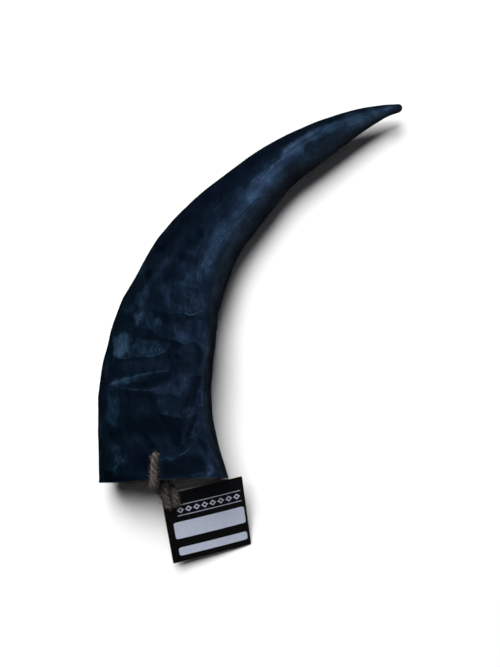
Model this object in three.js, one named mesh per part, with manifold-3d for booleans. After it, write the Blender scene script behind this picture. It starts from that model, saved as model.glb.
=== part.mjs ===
// A water buffalo horn with a card tag on a loop of jute twine, in millimetres, +Z up.
// The horn lies on its side on a flat surface, its broad scraped face up, its sawn base towards -Y and its
// tip towards +X and +Y. The origin is on the surface, under the middle of the horn's outline.
import * as THREE from 'three';
import { mergeVertices } from 'three/addons/utils/BufferGeometryUtils.js';
import Module from 'manifold-3d';

const wasm = await Module();
wasm.setup();

// The horn from base to tip. Each rib is a cross-section: its outer edge x, y, its inner edge x, y, and how
// thick the horn is there from the surface that it lies on to its top.
const ribs = [
  [-106.2, -131.3, -16.6, -129.1, 58],
  [-106.5, -109.7, -22.9, -109.3, 56.5],
  [-106.7, -87.3, -27.6, -88.7, 55],
  [-105.0, -61.4, -29.1, -66.3, 53],
  [-100.5, -36.1, -27.7, -46.6, 51],
  [-93.1, -10.2, -25.6, -27.5, 48],
  [-81.4, 12.3, -24.0, -11.9, 44.5],
  [-65.3, 40.6, -16.3, 12.1, 40.5],
  [-43.8, 64.4, -6.6, 32.6, 36],
  [-17.6, 85.9, 10.6, 55.2, 31],
  [9.3, 104.5, 28.7, 77.1, 26],
  [39.1, 119.1, 52.2, 95.4, 21],
  [69.6, 129.4, 77.0, 114.0, 14.5],
  [91.0, 133.4, 94.3, 125.1, 8.8],
  [102.6, 134.6, 103.9, 129.1, 6.2],
];
const tipRound = 2.6; // the rounded end, beyond the last rib
const edgeHeight = 0.45; // of the thickness: how high the two edges of the outline are
// How square a section's quarters are: 2 is an ellipse, and more is flatter with a sharper shoulder.
const squareness = { outer: 2.6, inner: 2.6, under: 3.2, tip: 2 };
// Where the crest runs, from the outer edge at -1 to the inner edge at 1: the horn twists a little, so that its
// broad face slopes down to the outer edge near the base and to the inner edge near the tip.
const crest = { base: 0.7, middle: 0.2, tip: -0.35 };
const lift = { from: 7, height: 14 }; // the underside rises off the surface from this rib to the tip
const cutLean = 9; // degrees that the saw cut leans back over the horn
const around = 44; // points round a section
const ringsPerRib = 4;
const tipRings = 4;

// The hollow: wall at the rim, and how many ribs deep it is.
const hollow = { wall: 7, depth: 7.6, around: 28, rings: 22, squareness: 2.3 };

// Growth rings that swell the horn all round, as rib positions, and how proud they stand.
const ringMean = 0.4; // taken off the swelling, so that the rings leave the outline where it is
const growthRings = [
  { at: 0.55, proud: 0.5, long: 0.3 },
  { at: 1.5, proud: 0.6, long: 0.35 },
  { at: 2.55, proud: 0.8, long: 0.3 },
  { at: 3.5, proud: 0.8, long: 0.35 },
  { at: 4.45, proud: 0.9, long: 0.3 },
  { at: 5.35, proud: 0.7, long: 0.3 },
  { at: 6.3, proud: 0.5, long: 0.35 },
];

// Ledges left by scraping, on the top face, seen from above: each runs from one point to another with a bow to
// its left. The face stands proud on that side, falls away again over run, and drops sharply on the other.
const ledges = [
  { from: [-71.0, 3.4], to: [-33.2, 2.0], bow: 1.5, proud: 0.9, run: 8 },
  { from: [-68.3, -14.1], to: [-33.9, -13.5], bow: -1, proud: 1.4, run: 14 },
  { from: [-68.9, -22.2], to: [-31.9, -35.7], bow: -2, proud: 1.4, run: 12 },
  { from: [-93.9, -39.4], to: [-58.8, -41.4], bow: 1, proud: 1.4, run: 12 },
  { from: [-99.3, -59.9], to: [-60.2, -53.2], bow: 1, proud: 1.7, run: 7 },
  { from: [-73.6, -68.7], to: [-43.3, -60.6], bow: 2, proud: 1.4, run: 9 },
];

// Shallow dents and, where deep is negative, swellings of the top face.
const dents = [
  { at: [-68.3, -96.4], long: 24, wide: 15, turn: 8, deep: 1.6 },
  { at: [-96.3, -96.4], long: 9, wide: 24, turn: 4, deep: -1.0 },
  { at: [-43.3, -76.4], long: 4, wide: 14, turn: -27, deep: 1.4 },
  { at: [-61.3, -46.4], long: 15, wide: 8, turn: 14, deep: 1.1 },
  { at: [-61.3, 12.6], long: 13, wide: 10, turn: 20, deep: 1.2 },
  { at: [-73.3, 23.6], long: 7, wide: 15, turn: -35, deep: -0.8 },
  { at: [-49.3, 35.6], long: 9, wide: 17, turn: -40, deep: 1.2 },
  { at: [-29.3, 57.6], long: 9, wide: 17, turn: -48, deep: 1.0 },
  { at: [6.7, 87.6], long: 6, wide: 18, turn: -60, deep: 0.8 },
  { at: [-35.3, -106.4], long: 8, wide: 16, turn: 10, deep: 1.0 },
];

const hole = { at: [-64.8, -109.2], radius: 3.2 }; // drilled down through the top wall

// The card, and how it leans: turned about Z, then raised about its own X, then rolled about its own Y.
const card = {
  width: 58, height: 60, thick: 0.9, corner: 0.6, centre: [-31.95, -160.3, 18.6], turn: 6.9, lean: 25.5, roll: 11.3,
};
// The slot punched in it, from its left and top edges.
const slot = { fromLeft: 7, fromTop: 9.1, long: 10.8, wide: 6.4 };

// The twine's route, from the knot behind the card up over the horn's rim, down the drilled hole, out of the
// hollow, and twice round the strip of card above the slot.
const twine = {
  diameter: 4.6,
  route: [
    [-60.5, -148.2, 20.6], [-61.9, -144.3, 22.8], [-62.6, -140.6, 25.7], [-63.1, -137.9, 29.1],
    [-64.1, -136.3, 33.0], [-65.5, -134.0, 42.0], [-65.9, -130.9, 49.6], [-65.7, -129.3, 54.3],
    [-65.6, -127.7, 57.7], [-65.5, -124.3, 59.0], [-65.4, -119.4, 58.8], [-65.2, -114.4, 58.6],
    [-64.9, -110.9, 58.0], [-64.8, -109.1, 55.2], [-64.7, -109.2, 51.0], [-64.3, -110.9, 46.8],
    [-63.1, -114.9, 44.4], [-61.5, -121.4, 43.6], [-60.3, -127.4, 43.2], [-59.7, -131.8, 42.6],
    [-59.4, -137.8, 41.5], [-58.6, -141.4, 39.9], [-57.7, -144.7, 37.7], [-57.4, -146.6, 34.8],
    [-57.8, -146.5, 31.9], [-58.3, -144.5, 30.0], [-58.2, -140.9, 29.6], [-57.5, -137.1, 30.8],
    [-56.4, -134.4, 33.3], [-54.9, -134.3, 36.6], [-53.5, -136.7, 38.8], [-52.7, -140.5, 38.5],
    [-52.5, -143.6, 36.7], [-52.7, -145.6, 33.9], [-53.2, -145.5, 31.1], [-54.0, -144.8, 27.8],
    [-54.7, -145.3, 24.8], [-55.1, -146.3, 22.4],
  ],
  steps: 76,
  sides: 8,
};
const knot = { centre: [-55.7, -150.7, 18.8], radius: 4.7, lump: 0.5 };

const finishes = {
  horn: { color: 0x10161f, roughness: 0.42 },
  jute: { color: 0x8b7350, roughness: 0.95 },
  card: { color: 0x0d0b0a, roughness: 0.6 },
};

const lerp = THREE.MathUtils.lerp;
const smooth = (x, low, high) => THREE.MathUtils.smoothstep(x, low, high);
const power = (x, exponent) => Math.sign(x) * Math.abs(x) ** exponent;

const outerEdge = curveThrough(ribs.map(([x, y, , , thick]) => [x, y, thick]));
const innerEdge = curveThrough(ribs.map(([, , x, y, thick]) => [x, y, thick]));
const lastRib = ribs.length - 1;

function curveThrough(points) {
  return new THREE.CatmullRomCurve3(points.map((p) => new THREE.Vector3(...p)), false, 'catmullrom', 0.5);
}

// The cross-section at a rib position: its middle, the way from outer to inner edge, and its sizes.
function sectionAt(rib) {
  const share = THREE.MathUtils.clamp(rib / lastRib, 0, 1);
  const outer = outerEdge.getPoint(share);
  const inner = innerEdge.getPoint(share);
  const thick = (outer.z + inner.z) / 2;
  const across = new THREE.Vector3(inner.x - outer.x, inner.y - outer.y, 0);
  const halfWidth = across.length() / 2;
  across.normalize();
  const middle = new THREE.Vector3((outer.x + inner.x) / 2, (outer.y + inner.y) / 2, 0);
  const onward = new THREE.Vector3(-across.y, across.x, 0);
  if (rib < 0) middle.addScaledVector(onward, rib * (ribs[1][1] - ribs[0][1]));
  return { middle, across, onward, halfWidth, thick };
}

function crestAt(rib) {
  return lerp(lerp(crest.base, crest.middle, smooth(rib, 4.5, 9.5)), crest.tip, smooth(rib, 9.5, 12));
}

function liftAt(rib) {
  return lift.height * smooth(rib, lift.from, lastRib);
}

// The saw cut leans: near the base each section is sheared along the horn, the more the nearer to the base.
function leanOfCut(rib, z) {
  const share = 1 - smooth(rib, 0, 2);
  return share * Math.tan(THREE.MathUtils.degToRad(cutLean)) * (z - edgeHeight * ribs[0][4]);
}

function ledgeHeight({ from, to, bow, proud, run }, x, y) {
  const [dx, dy] = [to[0] - from[0], to[1] - from[1]];
  const long = Math.hypot(dx, dy);
  const along = ((x - from[0]) * dx + (y - from[1]) * dy) / long;
  const share = THREE.MathUtils.clamp(along / long, 0, 1);
  const beside = (dx * (y - from[1]) - dy * (x - from[0])) / long - bow * 4 * share * (1 - share);
  const past = Math.max(-along, along - long, 0);
  return proud * (1 - smooth(past, 0, 6)) * smooth(beside, -1.5, 1.5) * Math.exp(-Math.max(beside, 0) / run);
}

function dentDepth(dent, x, y) {
  const turn = THREE.MathUtils.degToRad(dent.turn);
  const dx = x - dent.at[0];
  const dy = y - dent.at[1];
  const u = (dx * Math.cos(turn) + dy * Math.sin(turn)) / dent.long;
  const v = (dy * Math.cos(turn) - dx * Math.sin(turn)) / dent.wide;
  return dent.deep * Math.exp(-2 * (u * u + v * v));
}

function reliefOfTop(x, y) {
  const proud = ledges.reduce((sum, ledge) => sum + ledgeHeight(ledge, x, y), 0);
  return dents.reduce((sum, dent) => sum - dentDepth(dent, x, y), proud);
}

// How far the outline swells at a growth ring, or draws in between two.
function growth(rib) {
  const swell = growthRings.reduce((sum, { at, proud, long }) => sum + proud * Math.exp(-(((rib - at) / long) ** 2)), 0);
  return swell - ringMean * (1 - smooth(rib, 6.5, 8.5));
}

// A point of the horn's outside: rib position, angle round the section (0 is the inner edge and a quarter
// turn is the top), and share of the way out from the section's middle.
function onHorn(rib, angle, share) {
  const section = sectionAt(rib);
  const past = THREE.MathUtils.clamp(rib - lastRib, 0, 1) * (Math.PI / 2);
  const upper = Math.sin(angle) > 0;
  const side = Math.cos(angle) > 0 ? squareness.inner : squareness.outer;
  const bend = 2 / lerp(upper ? side : squareness.under, squareness.tip, smooth(rib, 4, upper ? 11 : lastRib));
  const swell = 1 + growth(rib) / section.halfWidth;
  const v = power(Math.sin(angle), bend);
  let u = power(Math.cos(angle), bend);
  if (upper) u = crestAt(rib) + u * (1 - crestAt(rib) * Math.sign(u));
  u *= swell * share * Math.cos(past);
  const height = v > 0 ? 1 - edgeHeight : edgeHeight;
  const point = section.middle.clone().addScaledVector(section.across, u * section.halfWidth);
  point.addScaledVector(section.onward, tipRound * Math.sin(past));
  point.z = liftAt(rib) + section.thick * (edgeHeight + height * v * share * Math.cos(past));
  if (v > 0) point.z += reliefOfTop(point.x, point.y) * v * v * share;
  return point.addScaledVector(section.onward, leanOfCut(rib, point.z));
}

// A point of the hollow, which starts a little outside the cut and closes to a blunt end.
function inHollow(rib, angle, share) {
  const section = sectionAt(rib);
  const closing = Math.sqrt(Math.max(0, 1 - (Math.max(rib, 0) / hollow.depth) ** 2.4));
  const bend = 2 / hollow.squareness;
  const inset = 1 + Math.max(rib, 0) * 0.12;
  const u = power(Math.cos(angle), bend) * share * (section.halfWidth - hollow.wall * inset) * closing;
  const v = power(Math.sin(angle), bend) * share * (section.thick / 2 - hollow.wall * inset) * closing;
  const point = section.middle.clone().addScaledVector(section.across, u);
  point.z = section.thick / 2 + v;
  return point.addScaledVector(section.onward, leanOfCut(rib, point.z));
}

// A closed skin: a capped cylinder whose points are moved to where place says, ring by ring.
function skinOf(sides, positions, place) {
  const cylinder = new THREE.CylinderGeometry(1, 1, 1, sides, positions.length - 1);
  const at = cylinder.attributes.position;
  for (let i = 0; i < at.count; i++) {
    const ring = Math.round((at.getY(i) + 0.5) * (positions.length - 1));
    const share = Math.hypot(at.getX(i), at.getZ(i));
    const angle = Math.atan2(at.getZ(i), at.getX(i));
    at.setXYZ(i, ...place(positions[ring], angle, share).toArray());
  }
  return bare(cylinder);
}

// Only the points and faces, with the points that share a place made one.
function bare(geometry) {
  const copy = geometry.clone();
  copy.deleteAttribute('normal');
  copy.deleteAttribute('uv');
  return mergeVertices(copy, 1e-4);
}

function solidOf(geometry) {
  return new wasm.Manifold(new wasm.Mesh({
    numProp: 3,
    vertProperties: new Float32Array(geometry.attributes.position.array),
    triVerts: new Uint32Array(geometry.index.array),
  }));
}

function geometryOf(solid) {
  const mesh = solid.getMesh();
  const geometry = new THREE.BufferGeometry();
  geometry.setAttribute('position', new THREE.BufferAttribute(mesh.vertProperties, mesh.numProp));
  geometry.setIndex(new THREE.BufferAttribute(mesh.triVerts, 1));
  return geometry;
}

function spaced(from, to, count) {
  return Array.from({ length: count + 1 }, (_, i) => lerp(from, to, i / count));
}

function makeHorn() {
  const positions = [
    ...spaced(0, lastRib, lastRib * ringsPerRib),
    ...spaced(lastRib, lastRib + 0.96, tipRings).slice(1),
  ];
  const outside = solidOf(skinOf(around, positions, onHorn));
  const inside = solidOf(skinOf(hollow.around, spaced(-0.2, hollow.depth * 0.99, hollow.rings), inHollow));
  const drill = new THREE.CylinderGeometry(hole.radius, hole.radius, ribs[0][4] / 2, 20);
  drill.rotateX(Math.PI / 2).translate(hole.at[0], hole.at[1], ribs[0][4] * 0.85);
  return geometryOf(outside.subtract(inside).subtract(solidOf(bare(drill))));
}

function makeTwine() {
  const section = new THREE.Shape();
  section.absarc(0, 0, twine.diameter / 2, 0, Math.PI * 2);
  return new THREE.ExtrudeGeometry(section, {
    steps: twine.steps, curveSegments: twine.sides / 2, bevelEnabled: false, extrudePath: curveThrough(twine.route),
  });
}

function makeKnot() {
  const ball = new THREE.SphereGeometry(knot.radius, 20, 14);
  const at = ball.attributes.position;
  for (let i = 0; i < at.count; i++) {
    const point = new THREE.Vector3().fromBufferAttribute(at, i);
    const turn = Math.atan2(point.y, point.x);
    point.setLength(knot.radius - knot.lump * (1 - Math.cos(3 * turn + point.z)) / 2);
    at.setXYZ(i, ...point.toArray());
  }
  return ball;
}

function makeCard() {
  const { width, height, corner } = card;
  const outline = new THREE.Shape();
  outline.absarc(width / 2 - corner, height / 2 - corner, corner, 0, Math.PI / 2);
  outline.absarc(corner - width / 2, height / 2 - corner, corner, Math.PI / 2, Math.PI);
  outline.absarc(corner - width / 2, corner - height / 2, corner, Math.PI, 1.5 * Math.PI);
  outline.absarc(width / 2 - corner, corner - height / 2, corner, 1.5 * Math.PI, 2 * Math.PI);
  const x = slot.fromLeft - width / 2;
  const y = height / 2 - slot.fromTop;
  const end = (slot.long - slot.wide) / 2;
  const punched = new THREE.Path();
  punched.absarc(x + end, y, slot.wide / 2, -Math.PI / 2, Math.PI / 2);
  punched.absarc(x - end, y, slot.wide / 2, Math.PI / 2, 1.5 * Math.PI);
  outline.holes.push(punched);
  const geometry = new THREE.ExtrudeGeometry(outline, { depth: card.thick, bevelEnabled: false, curveSegments: 4 });
  return geometry.translate(0, 0, -card.thick / 2);
}

function meshOf(name, geometry, finish) {
  const mesh = new THREE.Mesh(geometry, new THREE.MeshStandardMaterial({ ...finish, metalness: 0 }));
  mesh.name = name;
  return mesh;
}

const group = new THREE.Group();
group.add(meshOf('horn', makeHorn(), finishes.horn));
group.add(meshOf('twine', makeTwine(), finishes.jute));

const knotMesh = meshOf('twine_knot', makeKnot(), finishes.jute);
knotMesh.position.set(...knot.centre);
group.add(knotMesh);

const tag = meshOf('tag', makeCard(), finishes.card);
tag.position.set(...card.centre);
const [turn, lean, roll] = [card.turn, card.lean, card.roll].map(THREE.MathUtils.degToRad);
tag.rotation.set(lean, roll, turn, 'ZXY');
group.add(tag);

export default group;
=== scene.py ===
import math

import bmesh
import bpy
import numpy as np
from mathutils import Euler, Matrix, Vector
from mathutils.kdtree import KDTree


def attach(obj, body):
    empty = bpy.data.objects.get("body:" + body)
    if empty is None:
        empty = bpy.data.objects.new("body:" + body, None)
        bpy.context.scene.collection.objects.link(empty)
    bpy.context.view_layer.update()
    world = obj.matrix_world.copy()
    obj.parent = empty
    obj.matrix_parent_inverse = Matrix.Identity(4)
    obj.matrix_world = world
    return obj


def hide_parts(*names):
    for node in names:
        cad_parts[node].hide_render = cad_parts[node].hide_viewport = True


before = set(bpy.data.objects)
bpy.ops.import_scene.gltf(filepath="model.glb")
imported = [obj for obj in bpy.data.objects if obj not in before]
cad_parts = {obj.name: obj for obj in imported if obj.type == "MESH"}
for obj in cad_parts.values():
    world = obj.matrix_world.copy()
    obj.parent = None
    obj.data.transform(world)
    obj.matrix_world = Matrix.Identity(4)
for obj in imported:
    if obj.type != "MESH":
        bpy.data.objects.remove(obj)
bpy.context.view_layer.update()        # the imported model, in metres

mm = 0.001               # every size below is in millimetres, and every mesh in metres
print("frame loaded")


# colours, nodes and materials

def toLinear(hexColour):
    channels = [int(hexColour[i:i + 2], 16) / 255 for i in (1, 3, 5)]
    return (*[c / 12.92 if c <= 0.04045 else ((c + 0.055) / 1.055) ** 2.4 for c in channels], 1)


# sets a node's inputs, and links an input whose value is a socket
def setInputs(tree, node, inputs):
    for key, value in inputs.items():
        if isinstance(value, bpy.types.NodeSocket):
            tree.links.new(value, node.inputs[key])
        else:
            node.inputs[key].default_value = value


# adds a node with its settings, its inputs and, on a colour ramp, its stops
# (on a Mix node, inputs 0, 6 and 7 are the share and the two colours, and output 2 is the mixed colour)
def addNode(tree, kind, inputs=None, stops=(), **settings):
    node = tree.nodes.new(kind)
    for name, value in settings.items():
        setattr(node, name, value)
    setInputs(tree, node, inputs or {})
    if stops:
        elements = node.color_ramp.elements
        elements[0].position, elements[1].position = stops[0][0], stops[-1][0]
        for position, _ in stops[1:-1]:
            elements.new(position)
        for element, (_, colour) in zip(elements, stops):
            element.color = toLinear(colour)
    return node


def newMaterial(name):
    material = bpy.data.materials.new(name)
    material.use_nodes = True
    return material, material.node_tree, material.node_tree.nodes["Principled BSDF"]


# meshes

def makeObject(name, points, faces, material, smoothAngle=40):
    mesh = bpy.data.meshes.new(name)
    mesh.from_pydata(np.asarray(points, float) * mm, [], faces)
    mesh.validate()
    for polygon in mesh.polygons:
        polygon.use_smooth = True
    if smoothAngle:
        mesh.set_sharp_from_angle(angle=math.radians(smoothAngle))
    piece = bpy.data.objects.new(name, mesh)
    bpy.context.scene.collection.objects.link(piece)
    mesh.materials.append(material)
    return piece


# puts one vector a point on the mesh, for the material to read
def paint(mesh, name, values):
    attribute = mesh.attributes.new(name, "FLOAT_VECTOR", "POINT")
    attribute.data.foreach_set("vector", np.ascontiguousarray(values, np.float32).ravel())


def pointsOf(mesh):
    places = np.zeros(len(mesh.vertices) * 3)
    mesh.vertices.foreach_get("co", places)
    return places.reshape(-1, 3) / mm


def applyModifiers(piece):
    bpy.context.view_layer.update()
    evaluated = piece.evaluated_get(bpy.context.evaluated_depsgraph_get())
    mesh = bpy.data.meshes.new_from_object(evaluated)
    piece.modifiers.clear()
    piece.data = mesh


# the four-sided faces between rings of points that lie one after the other
def facesBetween(rings, sides):
    start = np.arange(rings - 1)[:, None] * sides
    here = np.arange(sides)[None]
    after = (here + 1) % sides
    faces = np.stack([start + here, start + after, start + sides + after, start + sides + here], -1)
    return [tuple(face) for face in faces.reshape(-1, 4).tolist()]


# curves and random waves

def smoothStep(x, low, high):
    t = np.clip((x - low) / (high - low), 0, 1)
    return t * t * (3 - 2 * t)


def lerp(a, b, t):
    return a + (b - a) * t


def power(x, exponent):
    return np.sign(x) * np.abs(x) ** exponent


# the smooth line through points that the CAD draws too; at counts points and may lie between two
def lineThrough(points, at):
    points = np.asarray(points, float)
    ends = np.vstack([2 * points[0] - points[1], points, 2 * points[-1] - points[-2]])
    at = np.asarray(at, float)
    i = np.clip(np.floor(at).astype(int), 0, len(points) - 2)
    t = (at - i)[..., None]
    before, here, there, after = ends[i], ends[i + 1], ends[i + 2], ends[i + 3]
    start, end = (there - before) / 2, (after - here) / 2
    return (here + start * t + (3 * (there - here) - 2 * start - end) * t ** 2
            + (2 * (here - there) + start + end) * t ** 3)


# how far along a line each of its points is
def lengthsAlong(line):
    return np.r_[0, np.cumsum(np.linalg.norm(np.diff(line, axis=0), axis=1))]


# points one step apart on the smooth line through a route's points, and the line's length
def evenly(points, step, perPoint=24):
    dense = lineThrough(points, np.linspace(0, len(points) - 1, (len(points) - 1) * perPoint + 1))
    run = lengthsAlong(dense)
    at = np.linspace(0, run[-1], max(8, round(run[-1] / step)) + 1)
    return np.stack([np.interp(at, run, dense[:, k]) for k in range(3)], 1), run[-1]


# soft random waves of about this wavelength, mostly within 1 up or down
def waves(x, y, wavelength, seed, count=14):
    random = np.random.default_rng(seed)
    total = np.zeros(np.broadcast(x, y).shape)
    for _ in range(count):
        turn = random.uniform(0, 2 * math.pi)
        k = 2 * math.pi / (wavelength * random.uniform(0.7, 1.5))
        total += np.cos(k * (x * math.cos(turn) + y * math.sin(turn)) + random.uniform(0, 2 * math.pi))
    return total / math.sqrt(count) / 1.6


# camera: straight above, with +Y up the picture and +X to the right

cameraSetup = {"x": -1.55, "y": -27.95, "height": 650, "lens": 48.06}

camera = bpy.data.objects.new("camera", bpy.data.cameras.new("camera"))
camera.location = np.array([cameraSetup["x"], cameraSetup["y"], cameraSetup["height"]]) * mm
camera.data.lens = cameraSetup["lens"]
camera.data.clip_start = 0.01
bpy.context.scene.collection.objects.link(camera)
bpy.context.scene.camera = camera


# twine: three plies of jute, and their loose hairs

twine = {
    "diameter": 4.6,
    "plyRadius": 1.2,        # of one ply
    "layRadius": 1.17,       # of the ring that the plies' middles lie on
    "pitch": -13.5,          # one turn of the plies, which lie like the middle of an S
    "fibrePitch": 26,        # the fibres of a ply turn the other way
    "fibreStretch": 0.16,    # draws the fibres' pattern out along the ply
    "sides": 14,
    "step": 0.42,            # between two rings of points
    "fibreWide": 1 / 3,      # real fibres are about 0.1 mm wide, and are drawn wider so that they show
    "dullPatch": 2.857,      # size of the patches where the streaks are duller
    # how uneven the plies are, as amount and wavelength: of their turn in radians, their lay and their width
    "uneven": [(0.35, 22), (0.05, 9), (0.09, 5)],
    "route": [
        [-60.5, -148.2, 20.6], [-61.9, -144.3, 22.8], [-62.6, -140.6, 25.7], [-63.1, -137.9, 29.1],
        [-64.1, -136.3, 33.0], [-65.5, -134.0, 42.0], [-65.9, -130.9, 49.6], [-65.7, -129.3, 54.3],
        [-65.6, -127.7, 57.7], [-65.5, -124.3, 59.0], [-65.4, -119.4, 58.8], [-65.2, -114.4, 58.6],
        [-64.9, -111.4, 58.0], [-64.8, -109.7, 55.2], [-64.7, -109.7, 51.0], [-64.3, -111.0, 46.8],
        [-63.1, -114.9, 44.4], [-61.5, -121.4, 43.6], [-60.3, -127.4, 43.2], [-59.7, -131.8, 42.6],
        [-59.4, -137.8, 41.5], [-58.6, -141.4, 39.9], [-57.7, -144.7, 37.7], [-57.4, -146.6, 34.8],
        [-57.8, -146.5, 31.9], [-58.3, -144.5, 30.0], [-58.2, -140.9, 29.6], [-57.5, -137.1, 30.8],
        [-56.4, -134.4, 33.3], [-54.9, -134.3, 36.6], [-53.5, -136.7, 38.8], [-52.7, -140.5, 38.5],
        [-52.5, -143.6, 36.7], [-52.7, -145.6, 33.9], [-53.2, -145.5, 31.1], [-54.0, -144.8, 27.8],
        [-54.7, -145.3, 24.8], [-55.1, -146.3, 22.4],
    ],
}
fuzz = {
    "count": 2600,
    "long": (1.5, 5.5),
    "thick": 0.22,           # real ones are about 0.05 mm, and are drawn thicker so that they show
    "rise": 1.0,             # how steeply they may leave the yarn
    "curl": 0.32,
    "rooted": 0.86,          # where they start, as a share of the yarn's radius
    "reach": 1.95,           # how far out they may go, in the same radii
    "steps": 6,
}


# jute, spun and laid in three plies: dull and hairy, and streaked from dark brown to the grey of old straw
def juteTwisted():
    material, tree, shader = newMaterial("jute_twisted_three_ply")
    yarn = addNode(tree, "ShaderNodeAttribute", attribute_name="yarn").outputs["Vector"]
    fibre = addNode(tree, "ShaderNodeTexNoise", {
        "Vector": yarn, "Scale": 1 / twine["fibreWide"], "Detail": 6, "Roughness": 0.65}).outputs["Fac"]
    streaks = addNode(tree, "ShaderNodeValToRGB", {"Fac": fibre}, stops=[
        (0.34, "#1d1815"), (0.5, "#544d47"), (0.68, "#aaa69d")]).outputs["Color"]
    patch = addNode(tree, "ShaderNodeTexNoise", {
        "Vector": yarn, "Scale": 1 / twine["dullPatch"], "Detail": 2}).outputs["Fac"]
    dull = addNode(tree, "ShaderNodeMapRange", {
        "Value": patch, "From Min": 0.38, "From Max": 0.62, "To Min": 0.15, "To Max": 0.8}).outputs[0]
    dulled = addNode(tree, "ShaderNodeMix", {
        0: dull, 6: streaks, 7: toLinear("#433a34")}, data_type="RGBA").outputs[2]
    # painted shade: the grooves between the plies are darkened, standing in for the shade that falls in them
    proud = addNode(tree, "ShaderNodeAttribute", attribute_name="proud").outputs["Vector"]
    proud = addNode(tree, "ShaderNodeSeparateXYZ", {"Vector": proud}).outputs[0]
    shade = addNode(tree, "ShaderNodeMapRange", {
        "Value": proud, "From Min": 0.1, "From Max": 0.8, "To Min": 0.22, "To Max": 1.1}).outputs[0]
    shaded = addNode(tree, "ShaderNodeVectorMath", {0: dulled, "Scale": shade}, operation="SCALE").outputs[0]
    bump = addNode(tree, "ShaderNodeBump", {"Height": fibre, "Strength": 0.9, "Distance": 0.35 * mm})
    setInputs(tree, shader, {
        "Base Color": shaded, "Normal": bump.outputs["Normal"], "Roughness": 0.95, "IOR": 1.5,
        "Sheen Weight": 0.2, "Sheen Roughness": 0.5, "Sheen Tint": toLinear("#a49c94")})
    return material


# the tangent and two normals at each point of a line, turned as little as can be
def framesAlong(line):
    tangent = np.gradient(line, axis=0)
    tangent /= np.linalg.norm(tangent, axis=1)[:, None]
    normal = np.zeros_like(line)
    side = np.cross(tangent[0], [0.3, 0.2, 1])
    for i, along in enumerate(tangent):
        side = side - along * (side @ along)
        side /= np.linalg.norm(side)
        normal[i] = side
    return tangent, normal, np.cross(tangent, normal)


# one tube along a line: its points, its faces, and for each point its place in the fibres' pattern, with how
# far it stands out from the grooves between the plies
def tube(line, radius, sides, outward=None, fibrePitch=math.inf, yarnSeed=0):
    tangent, normal, side = framesAlong(line)
    if outward is not None:
        normal = outward - tangent * np.sum(outward * tangent, 1)[:, None]
        normal /= np.linalg.norm(normal, axis=1)[:, None]
        side = np.cross(tangent, normal)
    turn = np.arange(sides) * 2 * math.pi / sides
    radius = np.broadcast_to(radius, (len(line),))[:, None]
    ring = normal[:, None] * np.cos(turn)[None, :, None] + side[:, None] * np.sin(turn)[None, :, None]
    points = (line[:, None] + ring * radius[..., None]).reshape(-1, 3)
    faces = facesBetween(len(line), sides)
    faces.append(tuple(range(sides - 1, -1, -1)))
    faces.append(tuple(range((len(line) - 1) * sides, len(line) * sides)))
    run = lengthsAlong(line)[:, None]
    phase = turn[None] + 2 * math.pi * run / fibrePitch
    yarn = np.stack(np.broadcast_arrays(
        radius * np.cos(phase) + yarnSeed, radius * np.sin(phase), run * twine["fibreStretch"],
        np.cos(turn)), -1)
    return points, faces, yarn.reshape(-1, 4)


def joinTubes(tubes):
    points, faces, yarns = zip(*tubes)
    firsts = np.r_[0, np.cumsum([len(each) for each in points])].tolist()
    joined = [tuple(v + first for v in face) for first, each in zip(firsts, faces) for face in each]
    return np.vstack(points), joined, np.vstack(yarns)


# three plies laid round a line; thin lets them run out to loose ends
def layPlies(line, size, seed, thin=1):
    random = np.random.default_rng(seed)
    tangent, normal, side = framesAlong(line)
    run = lengthsAlong(line)
    plies = []
    for ply in range(3):
        strayed, lay, width = [amount * waves(run, 0, wavelength, seed + 10 * number + ply)
                               for number, (amount, wavelength) in enumerate(twine["uneven"])]
        turn = 2 * math.pi * (run / (twine["pitch"] * size) + ply / 3) + strayed
        outward = normal * np.cos(turn)[:, None] + side * np.sin(turn)[:, None]
        middle = line + outward * (twine["layRadius"] * size * (1 + lay) * thin)[:, None]
        radius = twine["plyRadius"] * size * thin * (1 + width)
        yarnSeed = random.uniform(5, 50)
        plies.append(tube(middle, radius, twine["sides"], outward, twine["fibrePitch"], yarnSeed))
    return joinTubes(plies)


# hairs that stand off a line of twine, each a thin three-sided tube that curls as it goes
def hairs(line, count, radius, seed):
    random = np.random.default_rng(seed)
    tangent, normal, side = framesAlong(line)
    steps = fuzz["steps"]
    taper = fuzz["thick"] / 2 * np.linspace(1, 0.4, steps + 1)
    tubes = []
    for _ in range(count):
        at = random.integers(2, len(line) - 2)
        turn = random.uniform(0, 2 * math.pi)
        outward = normal[at] * math.cos(turn) + side[at] * math.sin(turn)
        across = np.cross(tangent[at], outward)
        long = random.uniform(*fuzz["long"]) * random.uniform(0.4, 1)
        heading = tangent[at] * random.choice([-1, 1]) * random.uniform(0.3, 1.0)
        heading = heading + across * random.uniform(-1, 1)
        heading = heading + outward * random.uniform(0.05, fuzz["rise"])
        place = line[at] + outward * radius * fuzz["rooted"]
        hair = [place]
        for _ in range(steps):
            heading = heading / np.linalg.norm(heading) + random.normal(0, fuzz["curl"], 3)
            place = place + heading / np.linalg.norm(heading) * long / steps
            away = place - line[at] - tangent[at] * ((place - line[at]) @ tangent[at])
            place = place - away * max(0, 1 - radius * fuzz["reach"] / np.linalg.norm(away))
            hair.append(place)
        tubes.append(tube(np.array(hair), taper, 3, yarnSeed=random.uniform(0, 60)))
    points, faces, yarns = joinTubes(tubes)
    yarns[:, 3] = 1          # the painted groove shade leaves them alone
    return points, faces, yarns


jute = juteTwisted()


def makeJute(name, points, faces, yarn, smoothAngle):
    piece = makeObject(name, points, faces, jute, smoothAngle)
    paint(piece.data, "yarn", yarn[:, :3])
    paint(piece.data, "proud", np.repeat(yarn[:, 3:], 3, axis=1))
    return piece


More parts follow.
